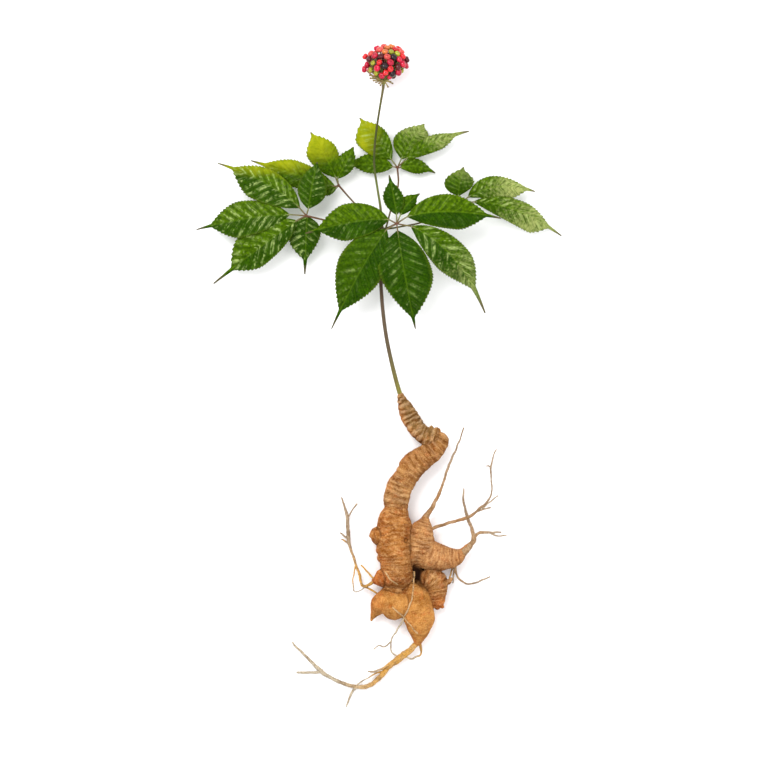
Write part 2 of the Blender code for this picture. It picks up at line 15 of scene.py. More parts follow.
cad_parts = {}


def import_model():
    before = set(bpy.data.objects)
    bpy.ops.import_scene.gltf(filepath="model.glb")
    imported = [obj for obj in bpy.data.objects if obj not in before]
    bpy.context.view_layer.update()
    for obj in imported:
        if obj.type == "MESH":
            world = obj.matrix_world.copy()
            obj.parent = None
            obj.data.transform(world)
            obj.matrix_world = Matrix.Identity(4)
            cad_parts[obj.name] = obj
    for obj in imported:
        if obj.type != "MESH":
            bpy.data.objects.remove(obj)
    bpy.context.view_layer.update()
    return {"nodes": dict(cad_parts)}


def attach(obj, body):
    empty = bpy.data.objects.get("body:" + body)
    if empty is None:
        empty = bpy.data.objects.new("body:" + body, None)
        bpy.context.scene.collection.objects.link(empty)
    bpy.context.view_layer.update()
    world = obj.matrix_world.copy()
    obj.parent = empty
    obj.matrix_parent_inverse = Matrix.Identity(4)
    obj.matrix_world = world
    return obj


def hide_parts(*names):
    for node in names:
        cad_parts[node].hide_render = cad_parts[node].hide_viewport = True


MM = 0.001

# The photograph's frame: one of its pixels is one millimetre of the plant
PHOTO_SIDE = 768
PHOTO_CENTRE_MM = (5.5, -8.0)
FOCUS_HEIGHT_MM = 25.0
LENS = 200.0
SENSOR = 36.0

# How fine the meshes are, in mm along a tube, and in sides around it
BODY_VOXEL = 0.72
MELT_PASSES = 6
LIMB_STEP, LIMB_SIDES = 2.0, 28
SPINE_STEP = 1.0
ROOTLET_STEP, ROOTLET_SIDES = 1.6, 9
STEM_STEP, STEM_SIDES = 1.6, 16
PETIOLE_STEP, PETIOLE_SIDES = 1.8, 12
MIDRIB_STEP, MIDRIB_SIDES = 2.5, 10
STALK_STEP, BARE_STEP, STALK_SIDES = 3.0, 1.5, 7
HUB_STEP, HUB_SIDES = 0.8, 16
LEAF_COLUMN = 1.35
ROWS_PER_TOOTH = 4
TOOTH_PITCH = 3.3
THINNEST_RADIUS = 0.25
POINTS_AT_ONCE = 4000

# The root's thick limbs: stations of x, y, z and radius, ring spacing, ring depth, skin
LIMBS = {
    "upper_neck": ([
        (21.4, -17.6, 12, 2.6), (23, -22.5, 11.6, 5.0), (26.3, -30, 12, 6.9), (31.2, -41, 13, 8.8),
        (37, -51, 14, 9.4), (44, -58.5, 16, 9.4), (54, -62.5, 18, 9.6), (61, -64.5, 19, 8.4),
        (65.5, -66, 19, 5.0), (67.5, -66.5, 19, 1.5),
    ], 5.6, 0.85, "neck"),
    "lower_neck": ([
        (64, -57.5, 20, 3.0), (63.5, -61, 20, 7.0), (61.5, -67, 20, 9.3), (54, -75.5, 20, 10.6),
        (43, -83, 20, 12.4), (34, -90.5, 20, 13.0), (27, -101, 20, 12.4), (22.5, -109, 19.2, 13.0),
    ], 6.4, 0.60, "low_neck"),
    "neck_base": ([
        (24, -106, 19.4, 12.6), (21.3, -112, 19, 13.4), (18.3, -122, 19, 13.8), (17.5, -130, 19, 12.2),
        (18, -138, 19, 10.6),
    ], 5.2, 0.60, "neck_base"),
    "torso": ([
        (18, -127, 19, 6.0), (17.5, -134, 19, 12.5), (16, -143, 18.5, 16.0), (16, -156, 18, 18.3),
        (17, -170, 17.8, 19.2), (18, -182, 17.5, 17.4), (18, -186, 17.3, 16.8),
    ], 3.8, 0.34, "torso"),
    "low_torso": ([
        (18, -182, 17.5, 17.2), (18, -192, 17, 16.4), (18, -202, 16.8, 17.6), (19, -210.5, 16, 13.0),
        (19, -215, 16, 5.0),
    ], 3.6, 0.36, "low_torso"),
    "side_knob": ([
        (14, -160, 20, 8.0), (4, -160, 21, 9.2), (-3, -160, 21, 8.6), (-7, -160, 21, 6.0),
        (-9, -160, 21, 2.0),
    ], 3.4, 0.3, "torso"),
    "low_knob": ([
        (12, -201, 20, 10.0), (5, -202.5, 20, 10.0), (0, -204.5, 20, 7.6), (-4.5, -206, 20, 3.4),
    ], 3.2, 0.35, "nub"),
    "shoulder": ([
        (47, -139, 19, 2.8), (46, -144.5, 19, 5.8), (44, -153, 19, 11.2), (42, -164, 18.5, 14.8),
        (41, -175, 18, 14.6), (42, -185, 17, 10.0), (43, -189, 17, 3.0),
    ], 3.2, 0.4, "shoulder"),
    "right_limb": ([
        (29, -172, 17, 7.0), (38, -174, 16, 13.8), (48, -178, 15.5, 15.4), (58, -181, 15, 14.6),
        (70, -182, 14.5, 11.6), (79, -180, 14.5, 8.2), (85, -176, 14.5, 4.6), (90, -170, 14, 3.2),
    ], 3.3, 0.35, "right"),
    "ringed_leg": ([
        (46, -200, 13, 6.0), (51, -202, 14, 11.2), (57.5, -207.5, 13.5, 12.0), (59.5, -216, 13, 9.6),
        (59.8, -223, 12.5, 7.4),
    ], 3.3, 0.50, "leg"),
    "leg_tip": ([
        (59.8, -221, 12.8, 7.6), (60, -225, 12.6, 7.2), (59.3, -229.5, 12.2, 6.2), (59, -232.6, 12, 3.6),
    ], 3.3, 0.4, "nub"),
    "left_bulb": ([
        (34, -227, 15, 7.0), (26, -227.5, 15.5, 14.0), (16.5, -227.3, 16, 17.2), (7.5, -228.5, 15.5, 16.2),
        (1, -231, 14, 11.0), (-3.2, -237, 12.5, 5.4), (-6.6, -243, 11, 2.2), (-7.6, -245.5, 10.5, 1.4),
    ], 4.2, 0.16, "bulb"),
    "teardrop": ([
        (33, -208, 16, 5.0), (34, -214, 16, 11.0), (37, -225, 15.8, 15.4), (39.5, -236, 15.8, 16.0),
        (40.5, -246, 15.4, 15.2), (40.6, -255, 14.8, 11.8), (40.4, -262, 13.5, 7.0), (39.5, -268, 12.5, 3.8),
    ], 4.6, 0.14, "bulb"),
    # The hollow under the fork: a limb that fills it, near black with painted shade
    "hollow": ([
        (31, -190, 8, 6.0), (37, -196, 8, 7.6), (42, -203, 8, 7.8), (47, -209, 8, 7.4),
    ], 4.6, 0.2, "hollow"),
}

# Skin colours, how dark the painted shade in the creases is, and how pale the crests are, partly with painted
# highlight
LIMB_SKINS = {
    "neck": ((0.088, 0.062, 0.018), 0.90, 0.75),
    "low_neck": ((0.235, 0.092, 0.020), 0.50, 0.20),
    "neck_base": ((0.39, 0.215, 0.080), 0.50, 0.35),
    "torso": ((0.275, 0.083, 0.006), 0.52, 0.28),
    "low_torso": ((0.165, 0.045, 0.004), 0.70, 0.35),
    "shoulder": ((0.315, 0.142, 0.052), 0.50, 0.45),
    "right": ((0.41, 0.185, 0.073), 0.45, 0.35),
    "leg": ((0.22, 0.080, 0.014), 0.85, 0.40),
    "nub": ((0.48, 0.090, 0.007), 0.45, 0.20),
    "bulb": ((0.43, 0.180, 0.032), 0.25, 0.15),
    # The hollow's near-black skin is painted shade
    "hollow": ((0.012, 0.004, 0.002), 1.0, 0.0),
}

# Sections that grew on from another limb with no fold between them
GROWN_FROM = {
    "upper_neck": "torso", "lower_neck": "torso", "neck_base": "torso", "low_torso": "torso",
    "right_limb": "shoulder", "leg_tip": "ringed_leg",
}

# Small knobs on the neck and body: x, y, z and radius
NUBS = [
    (38.5, -42.5, 15, 2.6), (58.5, -55.5, 20, 4.0), (53, -51.5, 18, 2.0), (45, -70.5, 24, 2.2),
    (71, -206.5, 12, 3.2), (73.4, -203.5, 11, 2.2), (-5, -205, 18, 2.2), (64, -231, 12, 2.6),
    (6, -139, 24, 3.6), (2.4, -174.5, 21, 5.0), (3.2, -182, 20, 5.0),
]

# Lumps all over the body: height in mm, span in mm and noise seed
LUMPS = [(1.3, 15.0, 5), (0.55, 6.0, 6), (0.22, 2.6, 7)]
PIT_DEPTH = 1.6

# Fine rings run between the main ones, this many times as close, and rings this deep show fully
FINE_RINGS = 2.1
FULL_RING_DEPTH = 0.6

# The thin roots: stations of x, y, z and radius, and their colours at start and end
ROOTLETS = [
    ([(41, -261, 14, 5.0), (39.3, -267.5, 12, 3.3), (32.5, -274.5, 10.5, 2.9), (26.8, -279, 8.5, 3.3),
      (20.5, -284, 6.5, 3.6), (13.2, -289.5, 5, 3.1), (6.9, -296, 4, 2.8), (-0.8, -305, 3.2, 2.5),
      (-10.6, -311.5, 2.8, 2.2), (-20.3, -312.2, 2.5, 2.0), (-30.5, -310.8, 2.3, 1.8),
      (-40.7, -306.8, 2.2, 1.8), (-49.7, -302, 2.2, 1.8), (-56.5, -297.4, 2.2, 2.1),
      (-64.5, -290, 2.1, 1.7), (-75.3, -279.5, 2.0, 1.4), (-86.6, -267.8, 1.8, 0.8)], "gold", "grey"),
    ([(-56, -297, 2.2, 1.5), (-68, -298.2, 2.2, 1.3), (-82, -298.6, 2.0, 1.0)], "grey", "grey"),
    ([(-20.3, -311.3, 2.5, 1.6), (-25.9, -316.4, 2.4, 1.3), (-29.9, -324.3, 2.0, 1.0),
      (-32.2, -332.8, 1.8, 0.7)], "grey", "grey"),
    ([(17, -285, 6.5, 1.6), (9.2, -290.3, 7.5, 1.3), (2.4, -294.2, 7.5, 1.1), (-4.4, -296.9, 7, 1.0),
      (-10.6, -297.1, 6, 0.8)], "gold", "beige"),
    ([(4.7, -297, 4.2, 1.2), (-2.1, -298.3, 5, 0.8), (-7.8, -301.8, 5, 0.7), (-14.6, -305.2, 4.2, 0.7),
      (-20.8, -310, 3.0, 0.8)], "gold", "grey"),
    ([(9, -197, 24, 2.2), (0, -203, 21.5, 1.8), (-8, -208, 16, 1.5), (-15.8, -210.5, 12, 1.4),
      (-19, -201, 9.5, 1.3), (-24, -185.5, 8, 1.3), (-28.3, -171.5, 7, 1.4), (-30.5, -162, 6.5, 2.0),
      (-30.8, -153, 6, 1.9), (-31.5, -142, 5.5, 1.6), (-34.5, -131, 4.5, 1.1),
      (-37.3, -122, 3.5, 0.7)], "gold", "beige"),
    ([(-31, -143, 5.5, 1.1), (-27.5, -136, 5, 0.8), (-21.7, -128.7, 4, 0.7)], "beige", "beige"),
    ([(-30, -163.5, 6.5, 1.1), (-35, -160.2, 6, 0.9), (-38.5, -158, 5, 0.8)], "beige", "beige"),
    ([(-29.5, -168.5, 6.7, 1.1), (-33.5, -166, 6, 0.9), (-37, -164, 5.5, 0.7)], "beige", "gold"),
    ([(-23, -190, 8, 0.9), (-24.8, -199, 6, 0.7), (-25.8, -208, 4.5, 0.6), (-25.4, -215.3, 3.5, 0.6),
      (-20.5, -216, 4.5, 0.6), (-13.5, -211.5, 10, 0.7)], "gold", "pale"),
    ([(-15, -210.5, 12, 1.2), (-8.5, -214, 13, 1.0), (0, -218.5, 14.5, 1.0)], "gold", "gold"),
    ([(3, -205, 21, 1.5), (-5.5, -201.5, 19, 1.1), (-12, -195, 16.5, 0.9),
      (-17.5, -189.8, 15, 0.7)], "gold", "gold"),
    ([(46.5, -142, 19, 3.6), (52, -134, 20, 2.4), (58, -124, 21, 1.8), (63, -111, 22, 1.5),
      (69, -94, 22, 1.3), (75, -79, 20, 1.1), (81, -65, 17, 0.9), (86, -52, 13, 0.7)], "torso", "beige"),
    ([(44, -156, 20, 2.6), (54, -152.5, 20, 1.7), (67, -148, 18, 1.6), (78, -145, 16, 1.6),
      (89, -142, 15, 1.7), (98, -136, 13, 1.4), (107, -128, 11, 1.1), (112.8, -119, 9, 0.9),
      (113.3, -104, 7, 0.8), (112.8, -92, 5.5, 1.0), (115, -81, 4, 0.7),
      (118.5, -74, 3, 0.6)], "torso", "beige"),
    ([(97, -136.5, 13, 1.2), (105, -134, 12, 0.9), (112.5, -131.8, 11, 0.7)], "beige", "beige"),
    ([(104, -133, 12, 1.0), (112, -126, 13, 0.8), (120, -120, 13, 0.6)], "beige", "beige"),
    ([(113, -92, 5.5, 0.8), (110.5, -90, 5.2, 0.7), (108.5, -90.5, 5, 0.6)], "beige", "beige"),
    ([(85, -177, 16, 4.4), (92.8, -168, 13, 2.8), (95.6, -161.5, 11.5, 2.6), (93.3, -152, 9.5, 1.6),
      (90, -144, 8, 1.6), (87, -134, 6.5, 1.2), (85, -124, 5, 1.0),
      (86, -113, 3.5, 0.7)], "right", "beige"),
    ([(95, -162, 11.5, 2.0), (101, -157.5, 11, 1.6), (112, -157, 9.5, 1.3),
      (123, -157, 8, 0.8)], "right", "beige"),
    ([(111, -157, 9.5, 1.0), (119, -160.8, 8, 0.8), (128.5, -160, 6.5, 0.6)], "beige", "beige"),
    ([(76.5, -187, 14, 1.8), (78, -198.5, 9, 1.1), (83, -205.5, 6, 0.9), (89.5, -209, 4.5, 0.9),
      (98, -208, 4, 0.9), (105, -204.5, 3.5, 0.8), (112, -202, 3, 0.7)], "right", "beige"),
    ([(76, -188, 13, 1.4), (72.8, -198, 10, 0.9), (70.8, -207, 7, 0.7)], "right", "gold"),
    ([(77, -189, 13, 1.3), (75.6, -199, 10, 0.9), (74.6, -208, 7, 0.7)], "right", "beige"),
    ([(35.5, -196, 18, 1.4), (35.4, -206, 24, 0.9), (34.5, -215.2, 27.6, 0.85), (32, -226, 28.6, 0.85),
      (29.5, -233.5, 28, 0.85), (25.2, -241.2, 26, 0.9), (23.3, -247.6, 19, 0.9), (16.9, -256.8, 13, 0.8),
      (13.3, -264, 8, 0.8), (12, -272, 6.5, 0.7), (13.7, -277.8, 6.5, 0.7),
      (18.5, -281, 6.5, 0.8)], "light", "grey"),
    ([(41, -266, 12.5, 1.8), (42.7, -274, 11, 1.2), (42, -280, 9.5, 1.0), (37.6, -282, 9, 1.0),
      (33, -284, 8.5, 1.0), (26.5, -281, 8, 0.8)], "gold", "grey"),
    ([(13, -266, 7.5, 0.9), (5.8, -272, 6, 0.7), (0, -271, 5, 0.6), (-5, -274.5, 4, 0.6)], "grey", "grey"),
    ([(14, -231, 29.5, 0.9), (19, -235.5, 28.5, 0.85), (25, -241, 27.4, 0.85), (32, -249, 26.4, 0.8),
      (38.5, -257, 22.5, 0.9)], "light", "light"),
    ([(7, -196, 27, 0.9), (12, -203, 30, 0.8), (19, -208, 29.6, 0.7)], "light", "light"),
]

ROOTLET_COLOURS = {
    "gold": (0.52, 0.26, 0.040),
    "beige": (0.30, 0.22, 0.145),
    "grey": (0.42, 0.36, 0.26),
    "pale": (0.42, 0.38, 0.32),
    "light": (0.50, 0.29, 0.12),
    "torso": (0.29, 0.145, 0.055),
    "right": (0.31, 0.175, 0.080),
}

# Rootlets that start in this colour lie on the body, with this share of their
# radius above it, where it isn't further below them than this
LYING = "light"
LYING_SHARE = 0.45
LYING_DROP = 9.0
ABOVE_ALL = 200.0

# Every rootlet wanders from its route by up to about this much, from this many steps on
JITTER_SEED = 3
JITTER = 0.9
JITTER_STEPS = 6

# A knot like an eye on the front of the body
EYE_KNOT = (27.5, -164.0)
EYE_KNOT_RADIUS = 2.0
EYE_KNOT_WIDTH = 0.8
EYE_KNOT_LOWEST = 20.0

# The deep gap under the fork, darkened with painted shade
FORK_GAP = (38.5, -199.0)
FORK_GAP_REACH = (3.6, 7.0)
FORK_GAP_SHADE = (0.012, 0.004, 0.002)

# Wrinkles: how many to a mm along a limb and to a metre around it, and how far they stray along it
WRINKLES_PER_MM = 0.75
WRINKLES_PER_METRE = 70.0
WRINKLE_WANDER = 2.4

# The left side is redder
FLUSH = (0.50, 0.105, 0.010)

# Where two limbs meet, painted shade darkens the skin over the seam's width. Their skins blend over
# the next width, and the hollow's painted shade spreads further by its bias
SEAM_WIDTH = 0.9
SKIN_BLEND = 1.6
HOLLOW_BIAS = 5.0

# The stem: stations of x, y, z and radius, and its colours from y to y
STEM_ROUTE = [
    (21.2, -16.9, 12.2, 2.4), (18, -6, 15, 2.2), (13, 14, 20, 2.1), (8, 38, 24, 2.0), (4.5, 64, 27, 1.9),
    (2.5, 91, 29, 1.85), (2, 118, 30, 1.8), (2.9, 141, 30, 1.8), (3, 147, 30, 2.5), (2.9, 152, 30, 1.6),
    (2, 168, 30, 1.25), (-1.5, 190, 30, 1.15), (-4, 208, 30, 1.1), (-4, 226, 29, 1.1), (-2, 246, 28, 1.1),
    (1, 266, 26.5, 1.15), (4, 284, 25, 1.25), (4.9, 290.6, 24.4, 1.5),
]
STEM_COLOURS = [
    (-20, (0.26, 0.25, 0.035)), (-8, (0.17, 0.16, 0.035)), (25, (0.095, 0.075, 0.042)),
    (90, (0.095, 0.062, 0.045)), (150, (0.085, 0.080, 0.028)), (185, (0.15, 0.19, 0.045)),
    (212, (0.026, 0.058, 0.006)), (250, (0.032, 0.050, 0.007)), (300, (0.15, 0.135, 0.050)),
]
WHORL = (3.0, 147.0, 30.0)

# A petiole leaves the whorl this far out, and runs straight for a little
PETIOLE_START = 2.85
PETIOLE_STRAIGHT = 3.6

# Each leaf: the petiole's direction at the whorl, its way points, the hub and
# the leaflets. A leaflet is base, middle and tip of its midrib, half width and
# its place on the left and on the right, share of the length that is drip tip,
# pairs of side veins, and how strong its painted sheen is.
LEAVES = {
    "leaf_front": ((0.30, 0.0, 0.95), [(10, 148, 45)], (18, 151, 60), [
        ((10, 155, 61), (-26, 152.5, 64), (-73, 142, 41), (17.5, 0.58), (19, 0.54), 0.12, 9, 0.25),
        ((8, 145, 59), (-18, 104, 60), (-47, 47, 26), (21.5, 0.50), (25, 0.47), 0.14, 10, 0.15),
        ((19, 144, 60), (26, 101, 62), (37, 47, 24), (27.5, 0.55), (25, 0.42), 0.09, 10, 0.2),
        ((33, 148, 60), (75, 116.5, 58), (107, 63, 10), (16, 0.54), (18.5, 0.46), 0.20, 9, 0.7),
        ((29, 158, 61), (72, 163, 63), (122, 157, 42), (17.5, 0.46), (17.5, 0.58), 0.13, 9, 0.15),
        ((18, 160, 62), (15, 178, 65), (10.5, 199, 67), (10.5, 0.5), (9.5, 0.42), 0.14, 6, 0.3),
        ((22, 160, 59), (30, 172, 58), (41, 181, 55), (7.5, 0.45), (7.5, 0.5), 0.12, 5, 0.1),
    ]),
    "leaf_left": ((-0.96, 0.0, 0.28), [(-18, 148, 33), (-43, 153, 35)], (-72, 160, 32), [
        ((-79, 168, 34), (-113, 192.5, 40), (-161, 213, 22), (20, 0.58), (14.5, 0.50), 0.14, 9, 0.8),
        ((-70, 167, 34), (-66.5, 188, 41), (-61, 213, 40), (14, 0.5), (15.5, 0.46), 0.04, 7, 0.4),
        ((-89, 161, 33), (-133, 157, 36), (-183, 147, 7), (18, 0.58), (18, 0.54), 0.14, 9, 1.0),
        ((-82, 155, 31), (-116, 130, 33), (-166, 93, 0.6), (16.5, 0.60), (21.5, 0.62), 0.17, 9, 0.95),
        ((-71, 159.5, 31), (-72.5, 138, 27), (-74, 102, 9), (14.5, 0.40), (16.5, 0.54), 0.17, 7, 0.8),
    ]),
    "leaf_left_back": ((-0.78, 0.0, -0.62), [(-9, 158, 25), (-25, 174, 20)], (-40, 191, 18), [
        ((-43, 199, 19), (-53.5, 220, 26), (-68, 244, 24), (16, 0.64), (14, 0.56), 0.06, 7, 0.05),
        ((-41, 198, 20), (-33, 213, 25), (-25, 229, 28), (8.5, 0.54), (9.5, 0.54), 0.06, 5, 0.3),
        ((-44, 190, 18), (-84, 202, 26), (-128, 216, 14), (13, 0.50), (13.5, 0.52), 0.14, 8, 0.2),
        ((-42.5, 188, 17), (-53, 187, 16), (-67, 184, 13), (6.5, 0.46), (6, 0.46), 0.08, 4, 0.3),
    ]),
    "leaf_back": ((0.62, 0.0, -0.78), [(12, 165, 20), (19.5, 190, 14)], (19, 209, 12), [
        ((13, 217, 13), (-2, 237.5, 18), (-19, 259, 12), (18.5, 0.66), (12, 0.52), 0.07, 8, 0.3),
        ((14, 210, 12), (-5, 212, 14), (-31, 213, 8), (8.8, 0.56), (10.3, 0.6), 0.06, 6, 0.15),
        ((23, 218, 12), (32.5, 235, 15), (46, 253, 12), (16.5, 0.40), (16.5, 0.74), 0.04, 7, 0.4),
        ((28, 218, 13), (55, 234, 21), (91, 246, 5), (7.5, 0.44), (9.5, 0.56), 0.18, 7, 0.4),
        ((22, 209, 12), (38, 210.5, 13), (57, 204, 6), (7.5, 0.46), (7.5, 0.5), 0.12, 5, 0.2),
    ]),
    "leaf_right": ((0.97, 0.0, 0.24), [(22, 149, 33), (48, 155, 34)], (82, 173, 27), [
        ((80, 180, 27), (81, 193, 31), (85, 209, 26), (15, 0.44), (14, 0.62), 0.06, 6, 0.3),
        ((90, 179, 27), (120, 189, 32), (157, 185, 14), (11.5, 0.38), (12.5, 0.64), 0.10, 7, 0.5),
        ((96, 174, 27), (137, 166, 30), (184, 141, 0.6), (10.5, 0.58), (15, 0.70), 0.13, 9, 0.6),
        ((77, 172, 26), (62, 169, 25), (47, 164, 22), (6, 0.46), (6, 0.46), 0.08, 4, 0.2),
    ]),
}

# How yellow some leaflets are in their outer part. Below 0 is on the right side
# only, and above 1 is mostly on the left side.
YELLOW = {
    ("leaf_left", 0): -0.55, ("leaf_left_back", 0): 0.95, ("leaf_left_back", 2): -0.8,
    ("leaf_back", 0): 1.25,
}
YELLOW_FADE = 0.45
YELLOW_MOST = 0.92

# How strong the painted silvery sheen is on some leaflets in their outer part
SILVER_SHEEN = {
    ("leaf_front", 3): 0.55, ("leaf_back", 2): 0.60, ("leaf_back", 3): 0.75, ("leaf_right", 0): 0.45,
    ("leaf_right", 1): 0.9, ("leaf_right", 2): 0.8,
}
SILVER_SHEEN_FADE = 0.45

# Leaves of a lighter green than the others, and by how much
LIGHTER = {"leaf_back": 0.55, "leaf_right": 0.32, "leaf_left_back": 0.40, "leaf_left": 0.08}

# A leaflet's edge: its teeth, and the drip tip, wider where it takes more than this share of the length
TOOTH_DEPTH = 0.95
TOOTH_VARIATION = (0.7, 1.2)
DRIP_HALF_WIDTH = 0.9
LONG_DRIP = 0.15
BLADE_THICKNESS = 0.55
LOWEST_BLADE = 0.6

# Each half of a blade arches up and droops to its edge, which waves this often
# along it: heights as shares of the half width
CROWN = 0.075
EDGE_DROOP = 0.12
WAVE_HEIGHT = 0.035
WAVES = (2.2, 3.4)

# Pleats between the side veins: their height, how far the veins lean to the
# tip, and how many there are to a pair of veins
PLEAT_HEIGHT = 0.85
VEIN_LEAN = 0.17
PLEATS_PER_PAIR = 1.12
MIDRIB_DEPTH = 0.55
# How strong the painted sheen on the pleats is
PAINTED_SHEEN_GAIN = 2.3

# The flank of a pleat faces this way, in shares of the way out from the midrib and of the way to the tip. The
# painted sheen is stronger the more the flank lines up with the light's direction
VEIN_ACROSS = 0.6
VEIN_FORWARD = 0.8
LIGHT_FROM = (-0.6, 0.8)

STALK_GREEN = (0.10, 0.11, 0.025)
STALK_RED = (0.13, 0.055, 0.035)
MIDRIB_GREEN = (0.22, 0.30, 0.10)

# The head of berries
HEAD_CENTRE = (7.0, 313.4, 22.7)
HEAD_REACH = (23.0, 16.6, 18.6)
BERRY_RADIUS = 3.45
RECEPTACLE = (5.2, 294.5, 24.0)
STEM_TOP = (4.9, 291.3, 24.4)
BACK_BERRIES = 34
BACK_REACH = (0.84, 0.84, 1.0)
BACK_KINDS = ["red", "crimson", "crimson", "pink", "dark", "green"]
INNER_BERRIES = 22
INNER_SHARE = 0.55
BERRY_SHAPE = (1.03, 1.0, 0.86)
BERRY_SIZES = (0.82, 1.06)
BERRY_SHADES = (0.75, 1.2)
UNRIPE_SIZE = 0.78

# Berries are moved apart in this many passes until their middles are this share
# of two radii apart. They keep to the outer shell of the head, off the stem
SPREAD_PASSES = 60
PRESSED = 0.93
SHELL_FROM = 0.70

# Berries that face the camera: x and y from the head's middle, and ripeness
FRONT_BERRIES = [
    (-20.5, 6.0, "red"), (-21.5, -6.0, "crimson"), (-8.0, 14.0, "crimson"), (-4.0, 11.5, "pink"),
    (-9.5, 6.0, "crimson"), (-4.5, 1.5, "red"), (2.5, 3.5, "pink"), (6.0, -0.5, "crimson"),
    (10.5, 12.0, "red"), (16.0, 9.5, "pink"), (16.5, -1.0, "crimson"), (20.5, -2.0, "crimson"),
    (20.5, 3.0, "dark"), (11.0, -9.5, "crimson"), (5.0, -14.0, "crimson"), (0.0, -11.0, "red"),
    (-4.5, -13.0, "crimson"), (-14.5, 8.5, "pink"), (2.0, 14.5, "orange"), (7.0, 15.0, "orange"),
    (9.0, 2.5, "black"), (1.0, -4.0, "black"), (7.5, -9.0, "black"), (13.0, -5.5, "dark"),
    (-3.0, 4.5, "dark"), (4.5, 9.0, "green"), (9.5, 7.5, "green"), (-12.5, -1.5, "green"),
    (-14.0, -8.5, "green"), (13.5, 13.5, "red"), (-16.0, 2.0, "dark"), (-9.0, -5.0, "crimson"),
    (-9.5, -10.5, "green"), (5.5, -6.0, "red"), (-1.5, 16.5, "pink"), (18.0, 6.0, "red"),
    (-1.0, 8.0, "orange"), (12.5, 2.5, "crimson"),
]
GREEN_KINDS = ("green", "black", "dark")
BERRY_COLOURS = {
    "red": (0.56, 0.008, 0.014),
    "crimson": (0.43, 0.002, 0.034),
    "pink": (0.62, 0.075, 0.060),
    "orange": (0.66, 0.20, 0.045),
    "dark": (0.075, 0.004, 0.006),
    "black": (0.008, 0.002, 0.004),
    "green": (0.30, 0.31, 0.018),
}

# Stalks under the head that have lost their berries: their ends
BARE_STALKS = [
    (-8.5, 300.5, 29.0), (-8.0, 297.5, 27.0), (-5.5, 298.5, 31.0), (-5.0, 295.0, 29.5), (-3.0, 297.0, 31.5),
    (-2.5, 293.5, 28.0), (-1.0, 295.5, 30.5), (0.5, 292.5, 27.5), (2.0, 290.5, 29.0), (2.0, 294.0, 30.5),
    (9.5, 289.0, 27.0), (12.0, 294.0, 28.0), (14.0, 292.5, 27.0),
]
BERRY_STALK_GREEN = (0.19, 0.19, 0.05)
BARE_STALK = (0.33, 0.27, 0.10)
BARE_END = (0.20, 0.14, 0.05)

# Each lamp: its place, what it looks at, its diameter in metres and its power in watts
LAMPS = {
    "key": ((-0.55, 0.75, 1.9), (0, 0, 0), 1.1, 26.0),
    "glint": ((-0.45, 0.6, 1.9), (0, 0.3, 0), 0.16, 2.4),
    "fill": ((0.9, -0.3, 1.9), (0, 0, 0), 1.6, 12.0),
}
SKY = (1.0, 0.995, 1.0, 1.0)
SKY_STRENGTH = 1.1
FLOOR_HALF_SIDE = 6.0
FLOOR_DROP = 0.0002
PAPER = (0.93, 0.925, 0.935, 1.0)


class Shape:
    """Points in mm, faces, and named values for each point, gathered before they become one mesh."""

    def __init__(self):
        self.points, self.faces, self.values = [], [], {}
        self.count = 0

    def add(self, points, faces, **values):
        """A value is given for each point, or once for all of them."""
        self.points.append(points)
        self.faces += [[corner + self.count for corner in face] for face in faces]
        self.count += len(points)
        for name, value in values.items():
            wanted = (len(points), 3) if name == "tint" else len(points)
            self.values.setdefault(name, []).append(np.broadcast_to(value, wanted))

    def mesh(self, name):
        made = bpy.data.meshes.new(name)
        made.from_pydata((np.concatenate(self.points) * MM).tolist(), [], self.faces)
        for key, parts in self.values.items():
            store(made, key, np.concatenate(parts))
        made.shade_smooth()
        made.update()
        return made

    def piece(self, name, *looks):
        return piece(name, self.mesh(name), *looks)


def store(mesh, name, values):
    """A value or a colour for each point, which the materials read by name."""
    if values.ndim == 1:
        mesh.attributes.new(name, "FLOAT", "POINT").data.foreach_set("value", values.astype(np.float32))
        return
    colours = np.ones((len(values), 4), np.float32)
    colours[:, :3] = values
    mesh.attributes.new(name, "FLOAT_COLOR", "POINT").data.foreach_set("color", colours.ravel())


def read(collection, name):
    """A vector of each item of a mesh, such as its place."""
    values = np.empty(len(collection) * 3, np.float32)
    collection.foreach_get(name, values)
    return values.reshape(-1, 3).astype(float)


def linked(name, data):
    made = bpy.data.objects.new(name, data)
    bpy.context.scene.collection.objects.link(made)
    return made


def piece(name, mesh, materials, replaced, slot):
    """A finished piece in the scene, riding on the plant's one body."""
    made = linked(name, mesh)
    mesh.materials.clear()
    for material in materials:
        mesh.materials.append(material)
    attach(made, "root")
    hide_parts(replaced)
    return made


def smooth_stations(route, spacing):
    """A smooth curve through the stations of x, y, z, radius, read at about this spacing."""
    route = np.array(route, float)
    padded = [2 * route[0] - route[1], *route, 2 * route[-1] - route[-2]]
    stations = []
    for before, here, there, after in zip(padded, padded[1:], padded[2:], padded[3:]):
        steps = max(1, round((Vector(there[:3]) - Vector(here[:3])).length / spacing))
        for t in np.arange(steps) / steps:
            bend = (2 * before - 5 * here + 4 * there - after) * t**2
            bend += (3 * here - before - 3 * there + after) * t**3
            stations.append(0.5 * (2 * here + (there - before) * t + bend))
    return [*stations, route[-1]]


def strips(rows, wide, first=0, closed=True):
    """Faces between rows of points that start at the first one, each this wide."""
    faces = []
    for start in range(first, first + rows * wide, wide):
        corners = [*range(start, start + wide), *[start] * closed]
        faces += [(here, there, there + wide, here + wide) for here, there in zip(corners, corners[1:])]
    return faces


